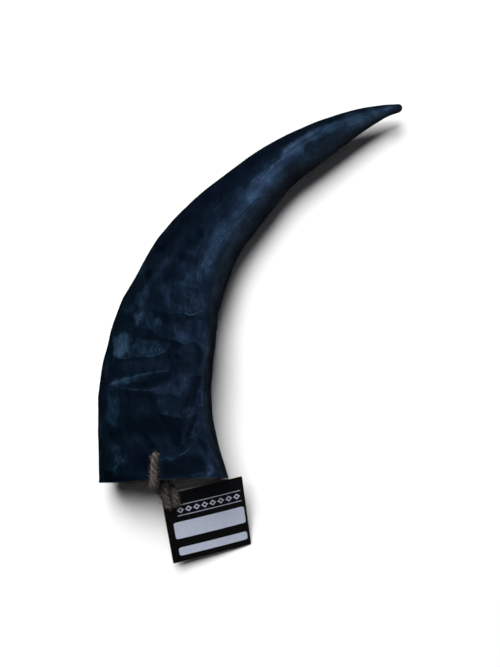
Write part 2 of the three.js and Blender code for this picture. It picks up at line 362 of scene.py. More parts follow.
twineLine, twineLength = evenly(twine["route"], twine["step"])
twinePiece = makeJute("twine_plies", *layPlies(twineLine, 1, seed=3), 60)
fuzzPiece = makeJute("twine_fuzz", *hairs(twineLine, fuzz["count"], twine["diameter"] / 2, seed=11), 0)
print(f"twine laid: {twineLength:.1f} mm")


# the knot behind the card, with two short frayed tails

knot = {
    "centre": [-55.7, -150.7, 18.8], "wide": 2.15, "deep": 1.35, "tilt": (62, 12, 20),
    "strand": 0.78,          # its plies against the twine's own, since it is pulled tight
    "steps": 150,
    "tails": [
        [[-55.9, -152.4, 17.2], [-56.4, -155.4, 14.2], [-57.6, -158.2, 10.6], [-58.9, -160.4, 6.4],
         [-59.6, -163.0, 2.9]],
        [[-53.9, -151.9, 17.4], [-51.2, -154.6, 14.8], [-49.6, -157.8, 10.2], [-50.4, -160.8, 5.8],
         [-49.2, -163.6, 2.7]],
    ],
    "hairs": 260, "hairRoots": 1.9,
    "lowest": 0.06,          # the tails rest on the table
}


def tieKnot():
    turns = np.linspace(0, 2 * math.pi, knot["steps"])
    trefoil = np.stack([
        np.sin(turns) + 2 * np.sin(2 * turns), np.cos(turns) - 2 * np.cos(2 * turns), -np.sin(3 * turns)], 1)
    trefoil *= np.array([knot["wide"] / 2, knot["wide"] / 2, knot["deep"]])
    tilt = np.array(Euler([math.radians(angle) for angle in knot["tilt"]]).to_matrix())
    strands = [layPlies(trefoil @ tilt.T + knot["centre"], knot["strand"], seed=31)]
    for number, tail in enumerate(knot["tails"]):
        line, _ = evenly(tail, twine["step"])
        ends = np.linspace(0, 1, len(line))
        frayed = 1 + 0.25 * ends - 0.5 * ends ** 6
        strands.append(layPlies(line, knot["strand"], 41 + number, frayed))
        strands.append(hairs(line, knot["hairs"], knot["hairRoots"], 51 + number))
    points, faces, yarn = joinTubes(strands)
    points[:, 2] = np.maximum(points[:, 2], knot["lowest"])
    return points, faces, yarn


knotPiece = makeJute("twine_knot_tied", *tieKnot(), 60)
print("knot tied")


# the card tag

card = {
    "width": 58, "height": 60, "thick": 0.9, "corner": 0.6, "centre": [-31.95, -160.3, 18.6],
    "turn": 6.9, "lean": 25.5, "roll": 11.3,
    "slot": {"fromLeft": 7, "fromTop": 9.1, "long": 10.8, "wide": 6.4},
    "cell": 1.0,              # size of its mesh cells
    "bow": 0.35,              # how far its middle bends up from its edges
    "edgeRound": 0.14,
    # the bare print, each box as: middle, half sizes and corner radius
    "panels": [(1.7, -2.5, 25.6, 7.2, 1.7), (1.85, -21.0, 25.2, 3.6, 1.7)],
    "rules": [(3.2, 18.6, 23.2, 0.3, 0.1), (3.2, 9.8, 23.2, 0.3, 0.1)],
    # a row of diamonds between the rules, an old and common border
    "border": {"box": (3.2, 14.2, 23.2, 3.0, 0), "half": 2.9, "outer": 2.5, "inner": 1.2,
               "halves": 9},  # half diamonds to each side of the middle
    "mottle": 2.857,          # size of the ink's uneven patches
    "grain": 0.3125,          # of the board; a real one's is about 0.1 mm, and it is drawn coarser to show
    "printedAbove": 0.3,      # only the face this far above the board's middle has the bare print
    "noPrint": 9,             # a distance that is outside every bare shape
}


# how far a place on the card is from a box with round corners, below 0 inside it
def fromBox(x, y, box):
    middleX, middleY, halfX, halfY, corner = box
    overX, overY = np.abs(x - middleX) - halfX + corner, np.abs(y - middleY) - halfY + corner
    outside = np.hypot(np.maximum(overX, 0), np.maximum(overY, 0))
    return outside + np.minimum(np.maximum(overX, overY), 0) - corner


# distances in mm that the material reads: from the bare print, from the hearts of its diamonds, and from the
# board's cut edges, each below 0 inside
def printOn(x, y):
    border, slot = card["border"], card["slot"]
    zigzag = np.abs((x + border["half"]) % (2 * border["half"]) - border["half"])
    diamond = zigzag + np.abs(y - border["box"][1])
    bare = np.maximum(diamond - border["outer"], fromBox(x, y, border["box"]))
    for box in card["panels"] + card["rules"]:
        bare = np.minimum(bare, fromBox(x, y, box))
    outline = fromBox(x, y, (0, 0, card["width"] / 2, card["height"] / 2, card["corner"]))
    slotBox = (slot["fromLeft"] - card["width"] / 2, card["height"] / 2 - slot["fromTop"],
               slot["long"] / 2, slot["wide"] / 2, slot["wide"] / 2)
    return np.stack([bare, diamond - border["inner"], np.maximum(outline, -fromBox(x, y, slotBox))], -1)


# white board, printed black on both sides with a matt ink: even, dull where its edges are rubbed, and pale
# where the board was cut
def boardPrinted():
    material, tree, shader = newMaterial("paperboard_printed_matt")
    place = addNode(tree, "ShaderNodeAttribute", attribute_name="card").outputs["Vector"]
    distances = addNode(tree, "ShaderNodeAttribute", attribute_name="print").outputs["Vector"]
    bare, heart, outline = addNode(tree, "ShaderNodeSeparateXYZ", {"Vector": distances}).outputs
    mottle, grain = [
        addNode(tree, "ShaderNodeTexNoise", {
            "Vector": place, "Scale": 1 / size, "Detail": detail}).outputs["Fac"]
        for size, detail in ((card["mottle"], 3), (card["grain"], 4))]
    black, pale = [
        addNode(tree, "ShaderNodeMix", {
            0: mottle, 6: toLinear(low), 7: toLinear(high)}, data_type="RGBA").outputs[2]
        for low, high in (("#060504", "#0d0b08"), ("#b4bfd8", "#cdd3e0"))]
    shape = addNode(tree, "ShaderNodeMapRange", {
        "Value": bare, "From Min": -0.04, "From Max": 0.04, "To Min": 1.0, "To Max": 0.0}).outputs[0]
    hollow = addNode(tree, "ShaderNodeMapRange", {
        "Value": heart, "From Min": -0.04, "From Max": 0.04}).outputs[0]
    ink = addNode(tree, "ShaderNodeMath", {0: shape, 1: hollow}, operation="MULTIPLY").outputs[0]
    printed = addNode(tree, "ShaderNodeMix", {0: ink, 6: black, 7: pale}, data_type="RGBA").outputs[2]
    # rubbed edges, within about 1 mm of the outline
    nearEdge = addNode(tree, "ShaderNodeMath", {
        0: grain, 1: 1.4, 2: outline}, operation="MULTIPLY_ADD").outputs[0]
    rubbed = addNode(tree, "ShaderNodeMapRange", {
        "Value": nearEdge, "From Min": 0.45, "From Max": 1.0, "To Max": 0.55}).outputs[0]
    worn = addNode(tree, "ShaderNodeMix", {
        0: rubbed, 6: printed, 7: toLinear("#4b443c")}, data_type="RGBA").outputs[2]
    # the board's own pale colour on its cut edges
    cutEdge = addNode(tree, "ShaderNodeMapRange", {
        "Value": outline, "From Min": -0.13, "From Max": -0.03}).outputs[0]
    cored = addNode(tree, "ShaderNodeMix", {
        0: cutEdge, 6: worn, 7: toLinear("#cbc5ba")}, data_type="RGBA").outputs[2]
    bump = addNode(tree, "ShaderNodeBump", {"Height": grain, "Strength": 0.25, "Distance": 0.08 * mm})
    setInputs(tree, shader, {
        "Base Color": cored, "Normal": bump.outputs["Normal"], "Roughness": 0.6, "IOR": 1.5,
        "Specular IOR Level": 0.25})
    return material


# how far the bowed board stands above a flat one
def bowAt(x, y):
    halfX, halfY = card["width"] / 2, card["height"] / 2
    return card["bow"] * ((1 - (x / halfX) ** 2) - 0.6 * (y / halfY) ** 2)


# the board as one thin sheet, with its slot, cut into cells and along the lines where the print's shapes turn
def punchBoard():
    shape = bmesh.new()
    halfX, halfY, corner = card["width"] / 2, card["height"] / 2, card["corner"]
    slot, cell = card["slot"], card["cell"]
    middleX, middleY = slot["fromLeft"] - halfX, halfY - slot["fromTop"]
    end = (slot["long"] - slot["wide"]) / 2
    outline = [
        (sx * (halfX - corner) + corner * math.cos(a), sy * (halfY - corner) + corner * math.sin(a))
        for sx, sy, first in ((1, 1, 0), (-1, 1, 90), (-1, -1, 180), (1, -1, 270))
        for a in np.radians(first + np.linspace(0, 90, 6))]
    punched = [
        (middleX + s * end + slot["wide"] / 2 * math.cos(a), middleY + slot["wide"] / 2 * math.sin(a))
        for s, first in ((1, -90), (-1, 90)) for a in np.radians(first + np.linspace(0, 180, 17))]
    for loop in (outline, punched):
        verts = [shape.verts.new((x, y, 0)) for x, y in loop]
        for a, b in zip(verts, verts[1:] + verts[:1]):
            shape.edges.new((a, b))
    bmesh.ops.triangle_fill(shape, edges=shape.edges[:], use_beauty=True, use_dissolve=False)
    turnsX = np.arange(-card["border"]["halves"], card["border"]["halves"] + 1) * card["border"]["half"]
    turnsY = [box[1] for box in (*card["rules"], card["border"]["box"])]
    for axis, half, turns in ((Vector((1, 0, 0)), halfX, turnsX), (Vector((0, 1, 0)), halfY, turnsY)):
        for cut in (*np.arange(cell - half, half, cell), *turns):
            bmesh.ops.bisect_plane(
                shape, geom=shape.verts[:] + shape.edges[:] + shape.faces[:], plane_co=axis * cut,
                plane_no=axis, dist=1e-5)
    bmesh.ops.recalc_face_normals(shape, faces=shape.faces[:])
    if sum(face.normal.z for face in shape.faces) < 0:
        bmesh.ops.reverse_faces(shape, faces=shape.faces[:])
    return shape


def makeCard():
    shape = punchBoard()
    for v in shape.verts:
        v.co.z = bowAt(v.co.x, v.co.y)
    mesh = bpy.data.meshes.new("tag_card")
    shape.to_mesh(mesh)
    shape.free()
    mesh.transform(Matrix.Scale(mm, 4))
    piece = bpy.data.objects.new("tag_card", mesh)
    bpy.context.scene.collection.objects.link(piece)
    solid = piece.modifiers.new("board", "SOLIDIFY")
    solid.thickness, solid.offset = card["thick"] * mm, 0
    rounded = piece.modifiers.new("edges", "BEVEL")
    rounded.width, rounded.segments, rounded.limit_method = card["edgeRound"] * mm, 2, "ANGLE"
    rounded.angle_limit = math.radians(50)
    applyModifiers(piece)
    mesh = piece.data
    mesh.materials.append(boardPrinted())
    place = pointsOf(mesh)
    distances = printOn(place[:, 0], place[:, 1])
    distances[place[:, 2] - bowAt(place[:, 0], place[:, 1]) < card["printedAbove"], 0] = card["noPrint"]
    paint(mesh, "card", place)
    paint(mesh, "print", distances)
    for polygon in mesh.polygons:
        polygon.use_smooth = True
    mesh.set_sharp_from_angle(angle=math.radians(40))
    turn, lean, roll = [Matrix.Rotation(math.radians(card[name]), 4, axis)
                        for name, axis in (("turn", "Z"), ("lean", "X"), ("roll", "Y"))]
    mesh.transform(Matrix.Translation(Vector(card["centre"]) * mm) @ turn @ lean @ roll)
    return piece


cardPiece = makeCard()
print("card punched and printed")


# the horn

horn = {
    # outer edge x and y, inner edge x and y, and thickness, from the base to the tip
    "ribs": [
        [-107.1, -131.4, -16.4, -129.2, 58], [-107.5, -109.7, -22.6, -109.3, 56.5],
        [-107.8, -87.3, -27.3, -88.7, 55], [-106.9, -61.5, -28.8, -66.4, 53],
        [-101.5, -36.0, -27.4, -46.8, 51], [-94.1, -9.9, -25.3, -27.6, 48],
        [-82.2, 12.7, -23.7, -12.0, 44.5], [-65.9, 41.0, -16.1, 12.0, 40.5],
        [-44.1, 64.7, -6.5, 32.5, 36], [-17.8, 86.2, 10.7, 55.1, 31],
        [9.2, 104.9, 28.8, 77.0, 26], [39.0, 119.6, 52.3, 95.3, 21],
        [69.5, 130.0, 77.0, 113.9, 14.5], [90.9, 134.1, 94.3, 125.0, 8.8],
        [102.5, 135.0, 103.9, 129.0, 6.2],
    ],
    "tipRound": 3.6,
    "edgeHeight": 0.45,       # where a section is widest, as a share of its thickness
    # how square the sections are, 2 being round, and from which rib they turn rounder, the upper half first
    "square": {"outer": 2.6, "inner": 2.6, "under": 3.2, "tip": 2, "turnsFrom": 4, "upperBy": 11},
    # where a section is highest, from -1 at its outer edge to 1 at its inner one, and at which ribs
    "crest": {"base": 0.82, "middle": 0.2, "tip": -0.35, "ribs": (4.5, 9.5, 12)},
    "lift": {"from": 7, "height": 14},      # the tip curves up from this rib on
    # the saw cut leans by these degrees, which fade out by this rib, and it wandered out beyond these x
    "cutLean": 9, "cutFades": 2, "sawWandered": 1.2, "sawWanderedOver": (-86, -70),
    "hollow": {"wall": 7, "thickens": 0.12, "depth": 7.6, "square": 2.3, "endSquare": 2.4},
    "growthRings": [          # rib, how proud, how long
        (0.55, 0.25, 0.3), (1.5, 0.3, 0.35), (2.55, 0.4, 0.3), (3.5, 0.35, 0.35), (4.45, 0.4, 0.3),
        (5.35, 0.3, 0.3), (6.3, 0.25, 0.35)],
    "ringMean": 0.18, "ringsFade": (6.5, 8.5),
    "smoother": (6, 10),      # the scraped relief fades between these ribs
    "outlineWanders": {"by": 0.35, "wavelength": 5, "count": 8},
    "hole": {"at": [-64.8, -109.2], "radius": 3.2, "flare": 0.5, "lip": 0.25, "sides": 48,
             "from": 36, "to": 70},      # heights that the drill reaches
    # sizes of the surface's patterns: streaks of grain are really about 0.4 mm wide and scratches 0.1 mm, and
    # both are drawn wider so that they show; so are the saw's marks, really about 0.5 mm apart
    "grain": {"long": 9.259, "wide": 1.111}, "scratches": {"long": 6.667, "wide": 0.6667},
    "blotches": 11.765, "patches": 4.545, "unevenness": 2.222, "drifts": 20,
    "sawMarks": {"long": 25, "apart": 1.111, "turn": 12},
    # scoops left by the scraper: seed, how many, and their usual half length, half width and depth
    "scoops": [(5, 330, 19, 8, 0.75), (6, 900, 9, 4.5, 0.3)],
    # rings of points and points round each, a share of them on the top; the rings are closer below this rib
    "rings": 392, "tipRings": 9, "hollowRings": 44, "around": 196, "topShare": 0.64, "closerBelow": 7.5,
    # about how many mm a radian is at the rim and in the hollow
    "rimRadian": 40, "hollowRadian": 25, "foldRadian": 22,
}
lastRib = len(horn["ribs"]) - 1

# dents of the top face: middle, half length, half width, turn, depth
dents = [
    ((-68.3, -96.4), 24, 15, 8, 1.6), ((-96.3, -96.4), 9, 24, 4, -1.0), ((-43.3, -76.4), 4, 14, -27, 1.4),
    ((-61.3, -46.4), 15, 8, 14, 1.1), ((-61.3, 12.6), 13, 10, 20, 1.2), ((-73.3, 23.6), 7, 15, -35, -0.8),
    ((-49.3, 35.6), 9, 17, -40, 1.2), ((-29.3, 57.6), 9, 17, -48, 1.0), ((6.7, 87.6), 6, 18, -60, 0.8),
    ((-35.3, -106.4), 8, 16, 10, 1.0),
]
# facets that the scraper left on the top face, each as: how pale (below 0 is dark), how lilac (below 0 is
# teal), how deep, how soft its edge is, and its corners seen from above
# their paleness is partly the keratin's own tone and partly painted light: painted highlight along the lit
# crest and on lit patches, painted shade below the lips and in other shaded places
facets = [
    (-0.45, 0.7, 0, 7, [(-68, 30), (-61, 44.5), (-43.5, 61), (-26.5, 75.5), (-8.5, 89.5), (-4, 84),
     (-20.5, 67), (-36.5, 54.5), (-51, 36.5), (-58, 29.5)]),
    (-0.4, 0.7, 0, 7, [(-8.5, 91.5), (16, 105), (40.5, 116), (61.5, 123.5), (62.5, 120.5), (41.5, 109),
     (18, 96.5), (-3, 82.5)]),
    (0.52, 0.15, 0, 7, [(-38, 14), (-35, 25.5), (-30.5, 37), (-20.5, 51), (-8, 67), (7.5, 84), (23, 99.5),
     (46, 117), (73, 127), (96, 133.5), (103, 134), (103, 132), (94, 127.5), (70, 116.5), (48, 108),
     (29, 91), (13, 75.5), (-2, 58), (-12.5, 44.5), (-21, 32.5), (-27.5, 21), (-30.5, 11.5)]),
    (-0.7, 0.4, 0.1, 4, [(24.5, 85.5), (33, 90.5), (36, 83.5), (21, 69.5), (9.5, 55), (-2.5, 39),
     (-4.5, 39), (3.5, 55.5), (13.5, 69.5)]),
    (0.95, -0.1, 0.1, 4, [(65.5, 123), (99, 134), (102.5, 132.5), (93, 127.5), (79, 121), (66, 113.5)]),
    (-1, 0, 0, 1.4, [(58.5, 101), (80.5, 118), (101, 129), (102, 128.5), (93.5, 125), (77.5, 116),
     (65, 106.5)]),
    (0.25, 0, 0.2, 1, [(-49.5, 6.5), (-44.5, 12), (-38.5, 16.5), (-33.5, 16.5), (-32.5, 9), (-33.5, 3.5),
     (-37.5, 1.5), (-42.5, 4)]),
    (0.45, 0.4, -0.1, 2, [(-74, 4.5), (-70.5, 5), (-70.5, -2), (-74, -9.5), (-76.5, -6.5), (-76, -0.5)]),
    (-0.8, 0, 0.4, 2.5, [(-69, -12.5), (-60.5, -13.5), (-55, -15), (-46, -15.5), (-45.5, -21.5),
     (-60, -21.5), (-68, -18)]),
    (-0.7, 0, 0.3, 1, [(-46.5, -16.5), (-33.5, -16), (-33.5, -18), (-46.5, -18.5)]),
    (0.7, 0.1, 0.1, 3, [(-81.5, -14), (-74.5, -13.5), (-73.5, -16), (-76, -20.5), (-79.5, -23),
     (-81.5, -19.5)]),
    (0.1, 0.2, 0.1, 1.5, [(-67, -17.5), (-62.5, -16), (-60.5, -22.5), (-59, -25), (-59, -29), (-63, -30),
     (-67.5, -26)]),
    (-0.4, 0, 0.1, 4, [(-90, -13.5), (-82, -13.5), (-82, -21.5), (-90.5, -21)]),
    (-0.5, 0, 0.3, 1.5, [(-81.5, -23.5), (-70.5, -25), (-64, -30.5), (-57, -32.5), (-59, -35.5),
     (-68.5, -33.5), (-75.5, -32.5), (-83, -33.5), (-83.5, -27)]),
    (-0.9, 0, 0.5, 2.2, [(-57, -32.5), (-53.5, -32.5), (-47, -35.5), (-50.5, -39.5), (-54.5, -40),
     (-56, -45), (-58.5, -45)]),
    (-0.9, -0.2, 0.3, 1.8, [(-54.5, -41), (-49.5, -42.5), (-46, -45.5), (-54.5, -46)]),
    (-0.7, 0, 0.3, 3, [(-44.5, -35), (-38, -35), (-35, -38), (-33, -41), (-35, -50.5), (-41, -51),
     (-40, -38.5), (-44.5, -38)]),
    (-0.25, 0.1, 0.1, 1.2, [(-48, -37.5), (-40.5, -38), (-40.5, -46), (-44.5, -45), (-50, -40)]),
    (0.25, 0.15, 0.1, 3, [(-47.5, -22.5), (-35, -22), (-31, -27.5), (-31, -34), (-35, -35.5),
     (-41.5, -32.5), (-46, -34.5), (-51.5, -31.5), (-50.5, -26)]),
    (0.2, 0, 0.2, 2, [(-97.5, -26), (-84, -25), (-83, -33), (-62, -36), (-61, -40), (-72, -42),
     (-84.5, -45), (-91, -45), (-96, -39)]),
    (0.02, 0.55, 0.2, 1.8, [(-95.5, -46), (-75.5, -45), (-58.5, -45), (-58.5, -51), (-75, -54), (-92, -54),
     (-97.5, -51.5)]),
    (-0.5, -0.3, 0.1, 2.5, [(-56.5, -46), (-40.5, -46), (-36.5, -47), (-36, -55.5), (-47.5, -54.5),
     (-56, -57)]),
    (0.8, 0.1, -0.2, 2.2, [(-98, -63), (-95, -59.5), (-85, -57), (-75.5, -54.5), (-67, -53.5), (-59, -53),
     (-67, -55.5), (-75.5, -58), (-84, -61.5), (-91.5, -64)]),
    (-1, 0, 0.4, 2.5, [(-89, -64), (-75.5, -60.5), (-67, -57.5), (-56, -54.5), (-56.5, -58), (-64, -63.5),
     (-80.5, -65.5)]),
    (0.25, 0, 0.1, 1.6, [(-48.5, -55.5), (-40.5, -54.5), (-41.5, -62.5), (-45.5, -67.5), (-53, -70),
     (-59, -63), (-55, -60)]),
    (-1, 0, 0.4, 2.2, [(-40, -57), (-35, -56.5), (-36.5, -64.5), (-40.5, -72), (-46, -79.5), (-47.5, -82.5),
     (-47, -76), (-42, -66)]),
    (0.2, 0.5, -0.1, 1.8, [(-82, -65), (-69.5, -66), (-64, -63.5), (-56, -64), (-55.5, -68), (-60.5, -70),
     (-67.5, -67.5)]),
    (-0.8, 0, 0.3, 3, [(-89.5, -66), (-80, -66.5), (-68, -68), (-62, -70.5), (-66, -77), (-70.5, -73.5),
     (-84.5, -73.5), (-89, -71)]),
    (0.45, 0, 0.2, 4, [(-101, -67.5), (-92.5, -69), (-89.5, -72.5), (-88.5, -80.5), (-89, -87.5),
     (-92, -92), (-96.5, -90), (-101, -85.5), (-101, -77.5)]),
    (-0.1, 0.6, 0.1, 1.4, [(-55, -70.5), (-45.5, -68), (-45.5, -72), (-48.5, -78.5), (-53, -78.5),
     (-55.5, -75)]),
    (0.05, 0.6, 0.1, 1.2, [(-41.5, -74), (-35.5, -69.5), (-33.5, -67.5), (-33.5, -76), (-38, -79),
     (-40.5, -83.5), (-44.5, -84.5), (-46, -82)]),
    (-1.4, 0.2, 0.4, 3, [(-62.5, -82), (-53.5, -85), (-47.5, -84.5), (-46.5, -92), (-47.5, -100),
     (-52, -109), (-55.5, -100), (-57, -94), (-62.5, -87)]),
    (-1.1, -0.2, 0.5, 7, [(-85, -81.5), (-75, -83.5), (-62.5, -85), (-57.5, -89), (-57, -99), (-74.5, -99),
     (-85.5, -97), (-87, -88.5)]),
    (-0.5, -0.3, 0.1, 3, [(-99, -93), (-87, -90.5), (-87, -98.5), (-98.5, -100)]),
    (0.25, 0, 0.1, 4, [(-97, -104.5), (-86.5, -100), (-82.5, -100.5), (-82, -106), (-85, -113), (-90, -119),
     (-93.5, -123), (-95, -116), (-98, -110)]),
    (-0.6, 0.4, 0.1, 3, [(-82, -100.5), (-57.5, -100), (-56.5, -109), (-73, -116), (-79.5, -110.5)]),
    (-1.3, 0, 0.5, 1.4, [(-40, -84), (-37.5, -83.5), (-39.5, -89), (-41.5, -94), (-43.5, -98.5),
     (-45.5, -97), (-43.5, -92.5)]),
    (-0.2, 0.2, -0.1, 1, [(-46, -87), (-43, -86.5), (-45, -91), (-46.5, -95)]),
    (-1, 0, 0.2, 2.2, [(-45, -95), (-39.5, -98.5), (-40, -102), (-45.5, -101.5)]),
    (-0.6, 0, 0.2, 1.2, [(-39.5, -90), (-35, -90.5), (-37, -94.5), (-38.5, -95)]),
    (-0.3, 0.4, 0.1, 1.4, [(-52.5, -102.5), (-45.5, -101.5), (-48, -108.5), (-51.5, -108.5)]),
    (-0.2, 0, 0.1, 1.6, [(-38, -97.5), (-34, -91.5), (-31, -93), (-31, -109), (-35, -104.5)]),
    (-1.8, 0.2, 0.4, 4.5, [(-54, -113.5), (-43.5, -109), (-32.5, -109), (-31.5, -114.5), (-32, -120.5),
     (-39.5, -121), (-45, -123), (-54, -123.5), (-60, -124), (-61, -114)]),
    (-1.1, 0, 0.2, 5, [(-80, -111.5), (-71, -109), (-68.5, -117), (-69.5, -122.5), (-78.5, -121.5),
     (-81.5, -116.5)]),
    (-2, 0, 0, 4, [(-101, -122), (-95, -121.5), (-95, -124.5), (-82, -124.5), (-70.5, -124.5),
     (-87.5, -133), (-102, -127.5)]),
    (1.2, 0.15, -0.1, 2.6, [(-29.5, -113.5), (-25.5, -117), (-24, -120), (-27.5, -122.5), (-31, -123.5),
     (-29, -118.5)]),
    (-0.1, 0.2, -0.1, 1, [(-42, -123), (-37.5, -120.5), (-32.5, -120.5), (-35.5, -122.5)]),
    (-0.3, 0, 0.3, 4, [(-48.5, 56), (-36.5, 55.5), (-33.5, 38.5), (-39.5, 33), (-47.5, 30.5)]),
    (-0.9, 0.2, 0.2, 1.4, [(-40, 43.5), (-34, 44.5), (-33.5, 39), (-36.5, 38)]),
    (-0.8, 0.5, 0.2, 2, [(-68.5, 34.5), (-60, 34.5), (-60, 29), (-67.5, 28.5)]),
    (0.15, 0.5, -0.1, 1.6, [(-62.5, 25.5), (-54.5, 28), (-55, 23.5), (-58, 16), (-63, 10.5), (-67.5, 12)]),
    (-0.2, 0.7, 0, 2, [(-62, 10.5), (-56, 15), (-46, 17), (-46.5, 8), (-62, 7.5)]),
    (-0.6, 0, 0.2, 1.8, [(-53.5, 30.5), (-36, 23.5), (-37, 19.5), (-45, 20), (-51, 22)]),
    (-0.9, 0, 0.1, 1.6, [(-74, 16), (-69.5, 16.5), (-69, 11.5), (-74, 9.5)]),
    (-0.5, 0.6, 0.1, 1.4, [(-33, 68), (-28, 70.5), (-27, 66.5), (-31, 64)]),
    (0.85, 0, 0.1, 4, [(-1.5, 81.5), (23.5, 90.5), (20.5, 79.5), (10, 67), (-3.5, 60.5), (-6, 67.5)]),
    (0.48, 0, 0.1, 3, [(-25, 39), (-9.5, 52), (-3.5, 54), (-10.5, 40.5), (-21, 28), (-29.5, 17.5),
     (-34, 21.5), (-29.5, 32)]),
    (0.95, 0, -0.1, 3, [(9.5, 86), (30, 102.5), (50.5, 113.5), (65.5, 120), (64.5, 117.5), (48.5, 110.5),
     (30.5, 98.5), (13.5, 87.5)]),
    (-0.1, -0.2, 0.2, 2, [(36, 104), (58, 112.5), (66, 109), (47.5, 95.5), (35.5, 93)]),
    (-0.8, 0, 0.1, 2.5, [(47, 106.5), (58, 110), (60, 104.5), (50, 100)]),
    (1.1, 0.1, 0, 3, [(20, 92.5), (30, 101), (46, 112), (62, 119.5), (66, 122.5), (50, 118.5), (34, 111),
     (21, 101)]),
    (-0.6, -0.3, 0.1, 3, [(52, 104), (64, 112), (76, 117), (86, 121), (72, 110), (58, 101)]),
    (0.95, 0.1, 0.1, 2.2, [(-96.5, -31), (-88, -26.5), (-84, -28.5), (-83.5, -40), (-90, -45), (-96.5, -43)]),
    (0.57, 0, 0.1, 2.5, [(-80, 1.5), (-74, 3), (-71, -1), (-73, -9), (-79, -10), (-83, -5)]),
    (-0.7, 0, 0, 3, [(-31, 8), (-26.5, 8), (-27, -22), (-31, -22)]),
]
# lips, grooves and scratches of the top face: height (below 0 is cut in), half width, how pale (a painted
# highlight along a lip's edge; below 0, painted shade along a groove), and its line
strokes = [
    (0.4, 0.9, 0.7, [(-46.5, -13.5), (-43, -15.5), (-38.5, -14.5), (-33.5, -12)]),
    (0.4, 1, 0.1, [(-70.5, -13.5), (-65.5, -12), (-58, -13.5), (-51.5, -13.5), (-46, -14)]),
    (0.4, 1, 0.15, [(-70, -24), (-67.5, -26), (-63, -29.5), (-57.5, -31.5), (-52, -32.5), (-45.5, -35),
     (-41, -33), (-38, -33.5), (-35, -36.5), (-33, -41)]),
    (0.4, 0.9, 0.5, [(-89.5, -45), (-81, -43.5), (-67, -43), (-60, -40.5)]),
    (0.3, 0.9, 0.35, [(-83.5, -22), (-82.5, -27.5), (-83.5, -32)]),
    (0.6, 1.8, 0.2, [(-99, -63), (-89.5, -60.5), (-81, -57), (-69, -54.5), (-59, -53)]),
    (0.3, 0.9, 0.3, [(-88, -64.5), (-79.5, -66), (-69.5, -66.5), (-64, -64.5)]),
    (-0.5, 1.4, -0.5, [(-36, -58.5), (-38, -65), (-40.5, -73), (-45.5, -78.5), (-47.5, -82.5)]),
    (-0.5, 1.1, -0.5, [(-38.5, -84), (-40, -89.5), (-43, -94), (-45.5, -98.5)]),
    (0.3, 0.8, 0.5, [(-33.5, -67.5), (-33.5, -75.5), (-35.5, -76.5)]),
    (0.3, 0.8, 0.2, [(-43, -93), (-39.5, -95), (-37.5, -98.5), (-35.5, -94.5), (-31.5, -92.5)]),
    (0.3, 0.7, 0.55, [(-55, -112.5), (-48, -109), (-43, -106), (-39, -102)]),
    (0.2, 0.6, 0.3, [(-58.5, -111), (-55, -111)]),
    (0.15, 0.7, 0.25, [(-59, -81.5), (-52, -81.5)]),
    (0.25, 0.9, 0, [(-61.5, -82), (-55, -83.5), (-51, -84), (-47, -84)]),
    (-0.3, 0.7, -0.6, [(-89.5, -121.5), (-83.5, -116.5)]),
    (0.2, 0.7, 0.3, [(-89.5, -123), (-86, -121)]),
    (0.15, 0.8, 0.2, [(-56.5, -48), (-52, -48)]),
    (0.15, 0.8, 0.25, [(-87, -48.5), (-82, -48)]),
    (0.15, 0.8, 0.2, [(-92, -52.5), (-87, -52)]),
    (0.3, 0.8, 0.3, [(-49, 6), (-42.5, 4), (-37.5, 1), (-34, 3)]),
    (0.2, 0.8, 0.3, [(-52.5, 1.5), (-54.5, -3.5)]),
    (0.2, 0.8, 0.4, [(-76, -14.5), (-79, -19)]),
    (0.2, 0.8, 0.3, [(-76.5, -18.5), (-79, -22.5)]),
    (0.4, 1.6, 0.1, [(-53, 36.5), (-56.5, 26.5), (-63, 17.5), (-68, 10.5)]),
    (-0.3, 0.7, -0.5, [(-22.5, 69.5), (-22, 64.5), (-27.5, 59.5)]),
    (0.3, 0.7, 0.25, [(35.5, 101), (35, 95.5), (41, 92)]),
    (-0.4, 0.8, -0.5, [(-3, 54), (-0.5, 50)]),
    (0.3, 0.8, 0.35, [(-42, -123), (-38, -122), (-32.5, -121)]),
    (0.2, 0.8, 0.5, [(-91.5, -117.5), (-93, -119.5)]),
    (0.2, 0.8, 0.3, [(-88, -85), (-90.5, -89)]),
]
# patches where the scraper chattered: way of its cuts from +X, their pitch, strength, and the patch's corners
chatter = [
    (66, 1.9, 0.8, [(-48, 2), (-33.5, 0), (-33, -7.5), (-45, -7)]),
    (68, 1.9, 0.75, [(-97.5, -33), (-83, -31), (-64, -32), (-60, -40), (-75, -42.5), (-90, -44.5),
     (-95, -41)]),
    (50, 2.2, 1.0, [(-37, 17), (-30, 30), (-20, 45), (-9, 52), (-14, 40), (-25, 25), (-30, 14)]),
    (112, 2.4, 0.8, [(-35, 19), (-29, 31), (-20, 40), (-15, 38), (-24, 26), (-30, 17)]),
    (46, 2.0, 0.7, [(-12, 50), (4, 70), (24, 88), (26, 82), (8, 62), (-6, 48)]),
    (104, 2.3, 0.5, [(-2, 60), (14, 78), (32, 92), (30, 84), (12, 68), (2, 58)]),
    (34, 1.8, 0.6, [(26, 92), (48, 106), (72, 117), (70, 111), (50, 101), (32, 88)]),
    (60, 2.0, 0.8, [(-46.5, -80), (-41, -76), (-38, -80), (-43, -85)]),
    (58, 2.1, 0.7, [(-82, -14), (-74, -13), (-76, -21), (-80, -23.5)]),
    (64, 2.3, 0.5, [(-95, -26), (-87, -25), (-88, -31), (-96, -32)]),
]


def smoothAlong(rib, outer):
    columns = [0, 1, 4] if outer else [2, 3, 4]
    return lineThrough(np.array(horn["ribs"])[:, columns], np.clip(rib, 0, lastRib))


